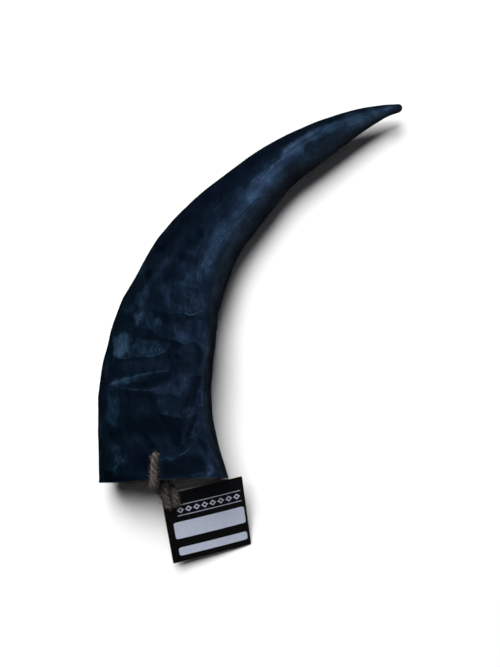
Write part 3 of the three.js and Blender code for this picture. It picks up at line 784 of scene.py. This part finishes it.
# the cross-section at each rib position, as the CAD has it
def sectionAt(rib):
    outer, inner = smoothAlong(rib, True), smoothAlong(rib, False)
    across = (inner - outer) * [1, 1, 0]
    width = np.linalg.norm(across, axis=-1, keepdims=True)
    across = across / width
    onward = np.stack([-across[..., 1], across[..., 0], 0 * across[..., 0]], -1)
    middle = (outer + inner) / 2 * [1, 1, 0]
    ribs = horn["ribs"]
    middle = middle + onward * (np.minimum(rib, 0) * (ribs[1][1] - ribs[0][1]))[..., None]
    return middle, across, onward, width[..., 0] / 2, (outer[..., 2] + inner[..., 2]) / 2


# how far the saw cut shifts a point along the horn: it leans, and the saw wandered on the outer side
def shiftOfCut(rib, x, z):
    lean = math.tan(math.radians(horn["cutLean"])) * (z - horn["edgeHeight"] * horn["ribs"][0][4])
    wandered = horn["sawWandered"] * (1 - smoothStep(x, *horn["sawWanderedOver"]))
    return (1 - smoothStep(rib, 0, horn["cutFades"])) * (lean - wandered)


def dentsOfTop(x, y):
    total = np.zeros_like(x)
    for (x0, y0), long, wide, turn, deep in dents:
        c, s = math.cos(math.radians(turn)), math.sin(math.radians(turn))
        u, v = ((x - x0) * c + (y - y0) * s) / long, ((y - y0) * c - (x - x0) * s) / wide
        total -= deep * np.exp(-2 * (u * u + v * v))
    return total


def outsideOfHorn(rib, angle):
    middle, across, onward, halfWidth, thick = sectionAt(rib)
    past = np.clip(rib - lastRib, 0, 1) * math.pi / 2
    upper = np.sin(angle) > 0
    square, crest, lift, edge = horn["square"], horn["crest"], horn["lift"], horn["edgeHeight"]
    shape = np.where(upper, np.where(np.cos(angle) > 0, square["inner"], square["outer"]), square["under"])
    first = square["turnsFrom"]
    rounder = np.where(upper, smoothStep(rib, first, square["upperBy"]), smoothStep(rib, first, lastRib))
    bend = 2 / lerp(shape, square["tip"], rounder)
    growth = sum(proud * np.exp(-(((rib - at) / long) ** 2)) for at, proud, long in horn["growthRings"])
    growth = growth - horn["ringMean"] * (1 - smoothStep(rib, *horn["ringsFade"]))
    v, u = power(np.sin(angle), bend), power(np.cos(angle), bend)
    crestAt = lerp(crest["base"], crest["middle"], smoothStep(rib, *crest["ribs"][:2]))
    crestAt = lerp(crestAt, crest["tip"], smoothStep(rib, *crest["ribs"][1:]))
    u = np.where(upper, crestAt + u * (1 - crestAt * np.sign(u)), u) * (1 + growth / halfWidth) * np.cos(past)
    point = middle + across * (u * halfWidth)[..., None]
    point = point + onward * (horn["tipRound"] * np.sin(past))[..., None]
    z = lift["height"] * smoothStep(rib, lift["from"], lastRib)
    z = z + thick * (edge + np.where(v > 0, 1 - edge, edge) * v * np.cos(past))
    z = z + np.where(v > 0, dentsOfTop(point[..., 0], point[..., 1]) * v * v, 0)
    point[..., 2] = z
    return point + onward * shiftOfCut(rib, point[..., 0], z)[..., None]


def insideOfHollow(rib, angle):
    middle, across, onward, halfWidth, thick = sectionAt(rib)
    hollow = horn["hollow"]
    closing = np.sqrt(np.maximum(0, 1 - (np.maximum(rib, 0) / hollow["depth"]) ** hollow["endSquare"]))
    wall = hollow["wall"] * (1 + np.maximum(rib, 0) * hollow["thickens"])
    bend = 2 / hollow["square"]
    point = middle + across * (power(np.cos(angle), bend) * (halfWidth - wall) * closing)[..., None]
    z = thick / 2 + power(np.sin(angle), bend) * (thick / 2 - wall) * closing
    point[..., 2] = z
    return point + onward * shiftOfCut(rib, point[..., 0], z)[..., None]


def normalsOf(grid):
    along = np.gradient(grid, axis=0)
    around = np.roll(grid, -1, axis=1) - np.roll(grid, 1, axis=1)
    normal = np.cross(along, around)
    return normal / np.maximum(np.linalg.norm(normal, axis=2, keepdims=True), 1e-9)


# how far each point is from a line seen from above, below 0 on the line's right
def besideLine(x, y, line):
    best = np.full(x.shape, 1e9)
    for (x0, y0), (x1, y1) in zip(line, line[1:]):
        dx, dy = x1 - x0, y1 - y0
        t = np.clip(((x - x0) * dx + (y - y0) * dy) / (dx * dx + dy * dy), 0, 1)
        far = np.hypot(x - x0 - t * dx, y - y0 - t * dy) * np.where(dx * (y - y0) > dy * (x - x0), 1, -1)
        best = np.where(np.abs(far) < np.abs(best), far, best)
    return best


# how far inside an outline seen from above each point is, 0 outside to 1; the outline wanders a little
def insideOutline(x, y, corners, soft, seed):
    wander = horn["outlineWanders"]
    share, reach = np.zeros(x.shape), soft + 1.5
    (left, low), (right, high) = np.min(corners, 0) - reach, np.max(corners, 0) + reach
    near = (x > left) & (x < right) & (y > low) & (y < high)
    x, y = x[near], y[near]
    within = np.zeros(x.shape, bool)
    for (x0, y0), (x1, y1) in zip(corners, corners[1:] + corners[:1]):
        if y0 != y1:
            within ^= ((y0 > y) != (y1 > y)) & (x < x0 + (y - y0) * (x1 - x0) / (y1 - y0))
    far = np.abs(besideLine(x, y, corners + corners[:1]))
    moved = wander["by"] * waves(x, y, wander["wavelength"], seed, wander["count"])
    share[near] = smoothStep(np.where(within, far, -far) + moved, -soft / 2, soft)
    return share


# shallow scoops left by the scraper: each point lies in the deepest scoop over it
def scoops(along, around, seed, count, long, wide, deep):
    random = np.random.default_rng(seed)
    total = np.zeros(along.shape)
    for _ in range(count):
        s0, c0 = random.uniform(-10, along.max() + 10), random.uniform(around.min(), around.max())
        turn = random.normal(0, 0.3)
        reach, span, depth = (size * random.uniform(0.6, 1.5) for size in (long, wide, deep))
        near = (np.abs(along - s0) < 2.2 * reach) & (np.abs(around - c0) < 2.2 * max(span, reach * 0.6))
        u = ((along - s0) * math.cos(turn) + (around - c0) * math.sin(turn)) / reach
        v = ((around - c0) * math.cos(turn) - (along - s0) * math.sin(turn)) / span
        total = np.where(near, np.minimum(total, depth * (u * u + v * v - 1)), total)
    return total


def fromHole(x, y):
    return np.hypot(x - horn["hole"]["at"][0], y - horn["hole"]["at"][1])


# how far along the middle of the horn each rib position is
fineRibs = np.linspace(0, lastRib, 1500)
fineRun = lengthsAlong(sectionAt(fineRibs)[0])


# rib positions of the outside's rings of points, the last ones round the tip, and how far along they are
def ringsAlong():
    spacing = np.where(fineRibs[1:] < horn["closerBelow"], 0.7, 1.1)
    crowd = np.r_[0, np.cumsum(np.diff(fineRun) / spacing)]
    ribAt = np.interp(np.linspace(0, crowd[-1], horn["rings"]), crowd, fineRibs)
    tip = lastRib + np.sin(np.linspace(0, 1, horn["tipRings"] + 1)[1:] * math.pi / 2) * 0.97
    along = np.r_[np.interp(ribAt, fineRibs, fineRun), fineRun[-1] + (tip - lastRib) * horn["tipRound"]]
    return np.r_[ribAt, tip], along


# angles round a section, closer together on the top
def anglesRound():
    fine = np.linspace(0, 2 * math.pi, 2001)
    trial = outsideOfHorn(np.full(fine.shape, 3.0), fine)
    step = np.linalg.norm(np.diff(trial, axis=0), axis=1)
    top = np.sin((fine[1:] + fine[:-1]) / 2) > 0
    share = horn["topShare"]
    step = np.where(top, step * share / step[top].sum(), step * (1 - share) / step[~top].sum())
    return np.interp(np.arange(horn["around"]) / horn["around"], np.r_[0, np.cumsum(step)], fine)


# distance round the section from its top, towards the inner edge
def distanceAround(outside, angles):
    steps = np.linalg.norm(outside - np.roll(outside, 1, axis=1), axis=2)
    around = np.cumsum(steps, axis=1)
    top = np.argmin(np.abs(angles - math.pi / 2))
    around = around[:, top:top + 1] - around
    whole = steps.sum(1)[:, None]
    return np.where(around < -whole / 2, around + whole, around)


# what the scraper left on the outside: how far each point moves out, and what the material reads, which is
# tone (how pale, how lilac), edge (distance from the nearest stroke, how pale that stroke is) and lines
# (phase of the chatter, its strength)
# tone and the strokes' paleness hold painted highlight and shade as well as the keratin's own tone
def carve(rib, x, y, along, around, normal):
    top = smoothStep(normal[..., 2], 0.05, 0.5)
    size = 1 - smoothStep(rib, *horn["smoother"])         # the upper half is smoother
    relief = np.zeros(rib.shape)
    tone, edge, lines = [np.zeros(rib.shape + (3,)) for _ in range(3)]
    # the facets' paleness paints highlight and shade as well as the keratin's own tone
    for number, (pale, lilac, deep, soft, corners) in enumerate(facets):
        share = insideOutline(x, y, corners, soft, 60 + number) * top
        relief -= deep * share
        tone[..., 0] = lerp(tone[..., 0], pale, share)
        tone[..., 1] = lerp(tone[..., 1], lilac, share)
    # painted light: the steep flank facing +X, towards the inner edge, is painted paler, standing in for the
    # light it catches from the floor
    paintedFlankLight = smoothStep(-normal[..., 2], -0.75, -0.3) * (normal[..., 0] > 0)
    tone[..., 0] = lerp(tone[..., 0], 0.75, 0.75 * paintedFlankLight)
    edge[..., 0] = 5                                      # far from every stroke
    for high, wide, pale, line in strokes:
        far = besideLine(x, y, line)
        relief += top * high * np.exp(-(far / wide) ** 2)
        nearer = np.abs(far) < np.abs(edge[..., 0])
        edge[..., 0] = np.where(nearer, far, edge[..., 0])
        edge[..., 1] = np.where(nearer, pale * top * (1 - smoothStep(np.abs(far), 1.2, 2.2)), edge[..., 1])
    for number, (way, pitch, strength, corners) in enumerate(chatter):
        share = insideOutline(x, y, corners, 1.6, 160 + number) * top * strength
        way = math.radians(way)
        stronger = share > lines[..., 1]
        phase = (y * math.cos(way) - x * math.sin(way)) / pitch
        lines[..., 0] = np.where(stronger, phase, lines[..., 0])
        lines[..., 1] = np.maximum(share, lines[..., 1])
    scraped = sum(scoops(along, around, *kind) for kind in horn["scoops"])
    relief += scraped * (0.25 + 0.5 * size) * (0.4 + 0.6 * top)
    relief += 0.07 * waves(along / 5, around, 4.2, 8) * (0.5 + 0.5 * size)       # along the grain
    relief += 0.035 * waves(along / 9, around, 2.2, 9)
    relief += 0.04 * waves(along, around, 3.4, 10) * size
    under = smoothStep(-normal[..., 2], 0.1, 0.7)
    relief += under * size * 0.3 * waves(along, around / 6, 9, 12)               # growth ridges, unscraped
    hole = horn["hole"]
    past = fromHole(x, y) - hole["radius"]
    relief += top * hole["lip"] * np.exp(-((past - 0.5) / 0.8) ** 2)
    tone[..., 0] += 0.6 * np.exp(-((past - hole["flare"] - 0.2) / 0.5) ** 2)     # painted highlight on the lip round the hole
    relief *= smoothStep(along, 0, 2.5) * smoothStep(fineRun[-1] + 2 - along, 0, 12)
    return relief, {"tone": tone, "edge": edge, "lines": lines}


# the hollow from its closed end out to the saw cut, with folds in its wall, and how far along each point is
def makeHollow(angles):
    ribs = np.linspace(horn["hollow"]["depth"] * 0.99, 0.03, horn["hollowRings"])
    rib, angle = np.meshgrid(ribs, angles, indexing="ij")
    hollow = insideOfHollow(rib, angle)
    along = np.interp(rib, fineRibs, fineRun)
    fold = 0.45 * waves(along / 7, angle * horn["foldRadian"], 7, 21)
    fold += 0.2 * waves(along, angle * horn["hollowRadian"], 3.5, 22)
    return hollow + normalsOf(hollow) * (fold * smoothStep(along, 0, 6))[..., None], along


# the sawn rim's rings, from the hollow's edge out, both edges a little broken, and the outside's first ring
def makeRim(angles):
    zero = np.zeros_like(angles)
    innerEdge, outerEdge = insideOfHollow(zero, angles), outsideOfHorn(zero, angles)
    onward = sectionAt(np.zeros(1))[2][0]
    toward = outerEdge - innerEdge
    wall = np.linalg.norm(toward, axis=1, keepdims=True)
    toward = toward / wall
    chip = (0.55 + 0.35 * waves(angles * horn["rimRadian"], 0, 9, 23) ** 2)[:, None]
    ripple = (0.12 * waves(angles * horn["rimRadian"], 0, 6, 24))[:, None]
    rim = np.stack([
        innerEdge + toward * 0.1 * chip + onward * 0.5 * chip,
        innerEdge + toward * 0.6 * chip,
        innerEdge + toward * wall * 0.33 + onward * ripple,
        innerEdge + toward * wall * 0.66,
        outerEdge - toward * 0.9 * chip,
        outerEdge - toward * 0.3 * chip + onward * 0.2 * chip])
    return rim, outerEdge + onward * 0.75 * chip


def makeHorn():
    ribs, run = ringsAlong()
    angles = anglesRound()
    rib, angle = np.meshgrid(ribs, angles, indexing="ij")
    outside = outsideOfHorn(rib, angle)
    along = np.broadcast_to(run[:, None], rib.shape)
    around = distanceAround(outside, angles)
    normal = normalsOf(outside)
    relief, drawn = carve(rib, outside[..., 0], outside[..., 1], along, around, normal)
    outside = outside + normal * relief[..., None]
    outside[..., 2] = np.maximum(outside[..., 2], 0.02)
    hollow, hollowAlong = makeHollow(angles)
    rim, outside[0] = makeRim(angles)
    grid = np.concatenate([hollow, rim, outside])

    # what the material reads: marks (rim, hollow) and place (along, around, depth of the carving), with the
    # carving's own values, which are 0 on the rim and in the hollow
    rings, sides = grid.shape[:2]
    rimAt, outsideAt = len(hollow), len(hollow) + len(rim)
    drawn = {name: np.concatenate([np.zeros((outsideAt, sides, 3)), values])
             for name, values in drawn.items()}
    marks, place = np.zeros((rings, sides, 3)), np.zeros((rings, sides, 3))
    marks[rimAt:outsideAt, :, 0] = 1
    marks[:rimAt, :, 1] = 1
    place[:rimAt, :, 0] = hollowAlong
    place[:rimAt, :, 1] = angles * horn["hollowRadian"]
    place[rimAt:outsideAt, :, 1] = angles * horn["rimRadian"]
    place[outsideAt:] = np.stack([along, around, relief], -1)

    # a point in the middle closes each end, inside the hollow and at the tip
    points = np.vstack([grid.reshape(-1, 3), hollow[0].mean(0), outside[-1].mean(0)])
    last = (rings - 1) * sides
    faces = facesBetween(rings, sides)
    faces += [(rings * sides, (i + 1) % sides, i) for i in range(sides)]
    faces += [(rings * sides + 1, last + i, last + (i + 1) % sides) for i in range(sides)]
    painted = {name: np.vstack([values.reshape(-1, 3), values[0].mean(0), values[-1].mean(0)])
               for name, values in {"marks": marks, "place": place, **drawn}.items()}
    return points, faces, painted


# a drill's shape: straight, then flared where it met the surface
def makeDrill(surface):
    hole = horn["hole"]
    radius, flare, low, high, sides = [hole[name] for name in ("radius", "flare", "from", "to", "sides")]
    profile = [
        (0.01, low), (radius, low), (radius, surface - 1.1), (radius + flare * 0.4, surface - 0.4),
        (radius + flare, surface + 0.4), (radius + flare, high), (0.01, high)]
    turn = np.arange(sides) * 2 * math.pi / sides
    x, y = hole["at"]
    points = [(x + r * math.cos(t), y + r * math.sin(t), z) for r, z in profile for t in turn]
    faces = facesBetween(len(profile), sides)
    faces += [tuple(reversed(range(sides))), tuple(range((len(profile) - 1) * sides, len(profile) * sides))]
    return points, faces


# drills the hole, and paints each point again from the nearest point before the drilling
def drillHorn(piece, points, painted):
    radius = horn["hole"]["radius"]
    surface = points[fromHole(points[:, 0], points[:, 1]) < radius + 1.5, 2].max()
    drill = makeObject("drill", *makeDrill(surface), keratin, 0)
    cut = piece.modifiers.new("drilled", "BOOLEAN")
    cut.operation, cut.object, cut.solver = "DIFFERENCE", drill, "EXACT"
    applyModifiers(piece)
    bpy.data.objects.remove(drill)
    tree = KDTree(len(points))
    for i, point in enumerate(points):
        tree.insert(point, i)
    tree.balance()
    after = pointsOf(piece.data)
    nearest = [tree.find(point)[1] for point in after]
    painted = {name: values[nearest] for name, values in painted.items()}
    bore = (fromHole(after[:, 0], after[:, 1]) < radius + 0.15) & (after[:, 2] > horn["hole"]["from"])
    painted["tone"][bore, 0] = -2.0                       # painted shade: the bore is darkened to near black, darker than the sawn rim
    for name, values in painted.items():
        paint(piece.data, name, values)


# keratin, sawn, scraped by hand and oiled: nearly black, blue where it takes the light, satin, and streaked
# along its grain, with pale dull marks where the scraper chattered
def keratinScraped():
    material, tree, shader = newMaterial("keratin_scraped_oiled")
    place = addNode(tree, "ShaderNodeAttribute", attribute_name="place").outputs["Vector"]
    marks, tone, lines, edge = [
        addNode(tree, "ShaderNodeSeparateXYZ", {
            "Vector": addNode(tree, "ShaderNodeAttribute", attribute_name=name).outputs["Vector"]}).outputs
        for name in ("marks", "tone", "lines", "edge")]
    grain, scratch = [
        addNode(tree, "ShaderNodeTexNoise", {
            "Vector": addNode(tree, "ShaderNodeMapping", {
                "Vector": place, "Scale": (horn[name]["wide"] / horn[name]["long"], 1.0, 1.0)}).outputs[0],
            "Scale": 1 / horn[name]["wide"], "Detail": detail, "Roughness": rough}).outputs["Fac"]
        for name, detail, rough in (("grain", 6, 0.6), ("scratches", 3, 0.7))]
    blotch, patchy, fine = [
        addNode(tree, "ShaderNodeTexNoise", {
            "Vector": place, "Scale": 1 / horn[name], "Detail": detail, "Roughness": rough}).outputs["Fac"]
        for name, detail, rough in (("blotches", 5, 0.6), ("patches", 3, 0.7), ("unevenness", 3, 0.5))]
    # strokes: a line along each, broken here and there, painting highlight along the lips and shade along the
    # grooves
    strayed = addNode(tree, "ShaderNodeMath", {
        0: fine, 1: 1.6, 2: edge[0]}, operation="MULTIPLY_ADD").outputs[0]
    centred = addNode(tree, "ShaderNodeMath", {0: strayed, 1: 0.8}, operation="SUBTRACT").outputs[0]
    fromLine = addNode(tree, "ShaderNodeMath", {0: centred}, operation="ABSOLUTE").outputs[0]
    line = addNode(tree, "ShaderNodeMapRange", {
        "Value": fromLine, "From Min": 0.15, "From Max": 0.75, "To Min": 1.0, "To Max": 0.0}).outputs[0]
    whole = addNode(tree, "ShaderNodeMapRange", {
        "Value": blotch, "From Min": 0.4, "From Max": 0.54, "To Min": 0.15, "To Max": 1.0}).outputs[0]
    line = addNode(tree, "ShaderNodeMath", {0: line, 1: whole}, operation="MULTIPLY").outputs[0]
    line = addNode(tree, "ShaderNodeMath", {0: line, 1: edge[1]}, operation="MULTIPLY").outputs[0]
    # the tone of each place, broken up by the blotches; it holds the painted highlight and shade of the
    # facets, strokes, flank and hole as well as the keratin's own tone
    broken = addNode(tree, "ShaderNodeMapRange", {
        "Value": blotch, "From Min": 0.3, "From Max": 0.7, "To Min": -0.5, "To Max": 0.4}).outputs[0]
    level = addNode(tree, "ShaderNodeMath", {0: tone[0], 1: broken}, operation="ADD").outputs[0]
    drawn = addNode(tree, "ShaderNodeMath", {0: line, 1: 1.4, 2: level}, operation="MULTIPLY_ADD").outputs[0]
    wanted = addNode(tree, "ShaderNodeMapRange", {
        "Value": drawn, "From Min": -1.5, "From Max": 2.0}).outputs[0]
    shade = addNode(tree, "ShaderNodeValToRGB", {"Fac": wanted}, stops=[
        (0.0, "#010408"), (0.2, "#01050a"), (0.43, "#040d16"), (0.57, "#0c1b28"), (0.75, "#1d3142"),
        (1.0, "#3d5a74")]).outputs["Color"]
    # teal, plain or lilac, in slow drifts
    hue = addNode(tree, "ShaderNodeTexNoise", {
        "Vector": place, "Scale": 1 / horn["drifts"], "Detail": 3, "W": 3.0,
    }, noise_dimensions="4D").outputs["Fac"]
    hueLevel = addNode(tree, "ShaderNodeMapRange", {
        "Value": hue, "From Min": 0.35, "From Max": 0.68, "To Min": -0.2, "To Max": 0.45}).outputs[0]
    tinge = addNode(tree, "ShaderNodeMath", {0: tone[1], 1: hueLevel}, operation="ADD").outputs[0]
    tinge = addNode(tree, "ShaderNodeMapRange", {
        "Value": tinge, "From Min": -0.5, "From Max": 1.2}).outputs[0]
    tint = addNode(tree, "ShaderNodeValToRGB", {"Fac": tinge}, stops=[
        (0.0, "#95c5bc"), (0.32, "#bcbcbc"), (1.0, "#ffb3c8")]).outputs["Color"]
    tinted = addNode(tree, "ShaderNodeMix", {
        0: 1.0, 6: shade, 7: tint}, data_type="RGBA", blend_type="MULTIPLY").outputs[2]
    streak = addNode(tree, "ShaderNodeMapRange", {
        "Value": grain, "From Min": 0.3, "From Max": 0.75, "To Min": 1.9, "To Max": 2.7}).outputs[0]
    colour = addNode(tree, "ShaderNodeVectorMath", {0: tinted, "Scale": streak}, operation="SCALE").outputs[0]
    # fine pale scratches along the grain, on the pale places
    clear = addNode(tree, "ShaderNodeMapRange", {
        "Value": scratch, "From Min": 0.54, "From Max": 0.68, "To Max": 0.45}).outputs[0]
    onPale = addNode(tree, "ShaderNodeMapRange", {
        "Value": level, "From Min": 0.0, "From Max": 1.1}).outputs[0]
    clear = addNode(tree, "ShaderNodeMath", {0: clear, 1: onPale}, operation="MULTIPLY").outputs[0]
    scratched = addNode(tree, "ShaderNodeMix", {
        0: clear, 6: colour, 7: toLinear("#4a637c")}, data_type="RGBA").outputs[2]
    # chatter: short cuts side by side, with gaps
    shifted = addNode(tree, "ShaderNodeMath", {
        0: fine, 1: 1.3, 2: lines[0]}, operation="MULTIPLY_ADD").outputs[0]
    wave = addNode(tree, "ShaderNodeMath", {0: shifted, 1: 0.5}, operation="PINGPONG").outputs[0]
    wave = addNode(tree, "ShaderNodeMath", {0: wave, 1: 2.0}, operation="MULTIPLY").outputs[0]
    sharp = addNode(tree, "ShaderNodeMath", {0: wave, 1: 2.4}, operation="POWER").outputs[0]
    gaps = addNode(tree, "ShaderNodeMapRange", {
        "Value": patchy, "From Min": 0.4, "From Max": 0.62}).outputs[0]
    shown = addNode(tree, "ShaderNodeMath", {0: lines[1], 1: gaps}, operation="MULTIPLY").outputs[0]
    cuts = addNode(tree, "ShaderNodeMath", {0: sharp, 1: shown}, operation="MULTIPLY").outputs[0]
    paler = addNode(tree, "ShaderNodeMath", {0: cuts, 1: 0.5}, operation="MULTIPLY").outputs[0]
    scored = addNode(tree, "ShaderNodeMix", {
        0: paler, 6: scratched, 7: toLinear("#3b5368")}, data_type="RGBA").outputs[2]
    # saw marks across the rim
    saw = horn["sawMarks"]
    sawLong, sawApart = 1 / (saw["long"] * mm), 1 / (saw["apart"] * mm)
    sawPlace = addNode(tree, "ShaderNodeMapping", {
        "Vector": addNode(tree, "ShaderNodeTexCoord").outputs["Object"],
        "Scale": (sawLong, sawLong, sawApart), "Rotation": (0, math.radians(saw["turn"]), 0)}).outputs[0]
    sawMark = addNode(tree, "ShaderNodeTexNoise", {
        "Vector": sawPlace, "Scale": 1.0, "Detail": 3, "Roughness": 0.6}).outputs["Fac"]
    sawnTone = addNode(tree, "ShaderNodeValToRGB", {"Fac": sawMark}, stops=[
        (0.36, "#1d1a18"), (0.66, "#423c36")]).outputs["Color"]
    sawn = addNode(tree, "ShaderNodeMix", {0: marks[0], 6: scored, 7: sawnTone}, data_type="RGBA").outputs[2]
    # the hollow is dry and brown
    dry = addNode(tree, "ShaderNodeMix", {
        0: marks[1], 6: sawn, 7: toLinear("#3a3028")}, data_type="RGBA").outputs[2]
    # dark places are rough and pale ones are polished by the scraper
    rough = addNode(tree, "ShaderNodeMapRange", {
        "Value": level, "From Min": -1.1, "From Max": 0.9, "To Min": 0.66, "To Max": 0.38}).outputs[0]
    rougher = addNode(tree, "ShaderNodeMath", {
        0: grain, 1: 0.1, 2: rough}, operation="MULTIPLY_ADD").outputs[0]
    # grain, scratches, saw marks and chatter are all cut in
    height = addNode(tree, "ShaderNodeMath", {0: grain, 1: scratch}, operation="ADD").outputs[0]
    for mark, share in ((sawMark, marks[0]), (cuts, 2.0)):
        height = addNode(tree, "ShaderNodeMath", {
            0: mark, 1: share, 2: height}, operation="MULTIPLY_ADD").outputs[0]
    bump = addNode(tree, "ShaderNodeBump", {"Height": height, "Strength": 0.4, "Distance": 0.12 * mm})
    setInputs(tree, shader, {
        "Base Color": dry, "Roughness": rougher, "Normal": bump.outputs["Normal"], "IOR": 1.54,
        "Specular IOR Level": 0.25, "Specular Tint": toLinear("#c4daf4")})
    return material


keratin = keratinScraped()
points, faces, painted = makeHorn()
hornPiece = makeObject("horn_sheath", points, faces, keratin, 0)
drillHorn(hornPiece, points, painted)
hornPiece.data.set_sharp_from_angle(angle=math.radians(48))
print(f"horn carved and drilled: {len(hornPiece.data.polygons)} faces")


# what each piece stands for

for piece, node, slotName in (
        (hornPiece, "horn", "horn"), (twinePiece, "twine", "jute"), (fuzzPiece, None, "jute"),
        (knotPiece, "twine_knot", "jute"), (cardPiece, "tag", "card")):
    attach(piece, "root")
    if node:
        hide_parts(node)


# floor and light

studio = {
    "floor": ("#f4f4f4", "#f7f7f7"),
    "floorHalf": 4.0, "floorDrift": 0.2,      # in metres: half its side, and its slow drifts of tone
    "backdrop": "#f2f2f2",      # what the camera sees past the floor; it gives no light
    # place and aim in metres, size, power in watts, colour
    "panels": [
        # far off, so that the floor is evenly white and the shadow soft, about as wide as the horn is high
        {"name": "key", "at": (-1.18, 3.24, 4.92), "aim": (0, 0, 0), "size": (3.3, 3.3), "power": 570,
         "colour": "#ffffff", "gloss": False},
        {"name": "overhead", "at": (0.22, 0.42, 1.25), "aim": (0, 0.05, 0), "size": (0.26, 0.34),
         "power": 7.6, "colour": "#b3caff", "diffuse": False},
        {"name": "side", "at": (0.9, -0.15, 0.35), "aim": (0, -0.06, 0.03), "size": (0.5, 0.8), "power": 4.5,
         "colour": "#d4dcee", "diffuse": False},
        # beside the lens, so that the shadows the camera sees into are dark grey, not black
        {"name": "fill", "at": (0, -0.028, 0.67), "aim": (0, -0.028, 0), "size": (0.08, 0.08), "power": 0.1,
         "colour": "#ffffff", "gloss": False},
    ],
}


# a smooth white painted floor, without gloss, so that only the shadow shows on it
def paintMatt():
    material, tree, shader = newMaterial("floor_paint_matt")
    drift = addNode(tree, "ShaderNodeTexNoise", {
        "Scale": 2 * studio["floorHalf"] / studio["floorDrift"], "Detail": 2}).outputs["Fac"]
    low, high = [toLinear(colour) for colour in studio["floor"]]
    tone = addNode(tree, "ShaderNodeMix", {0: drift, 6: low, 7: high}, data_type="RGBA").outputs[2]
    setInputs(tree, shader, {"Base Color": tone, "Roughness": 0.9, "Specular IOR Level": 0.1})
    return material


half = studio["floorHalf"] / mm
floor = makeObject("floor", [(-half, -half, 0), (half, -half, 0), (half, half, 0), (-half, half, 0)],
                   [(0, 1, 2, 3)], paintMatt(), 0)
floor.visible_glossy = False        # as black flags do: the horn's sides don't mirror the white floor
for panel in studio["panels"]:
    light = bpy.data.objects.new(panel["name"], bpy.data.lights.new(panel["name"], "AREA"))
    light.data.shape = "RECTANGLE"
    light.data.size, light.data.size_y = panel["size"]
    light.data.energy = panel["power"]
    light.data.color = toLinear(panel["colour"])[:3]
    light.visible_diffuse = panel.get("diffuse", True)
    light.visible_glossy = panel.get("gloss", True)
    light.location = panel["at"]
    light.rotation_euler = (Vector(panel["aim"]) - Vector(panel["at"])).to_track_quat("-Z", "Y").to_euler()
    bpy.context.scene.collection.objects.link(light)
world = bpy.data.worlds.new("studio")
world.use_nodes = True
world.node_tree.nodes["Background"].inputs["Color"].default_value = toLinear(studio["backdrop"])
world.cycles_visibility.diffuse = world.cycles_visibility.glossy = False
bpy.context.scene.world = world
bpy.context.scene.view_settings.view_transform = "Standard"
print("studio lit")
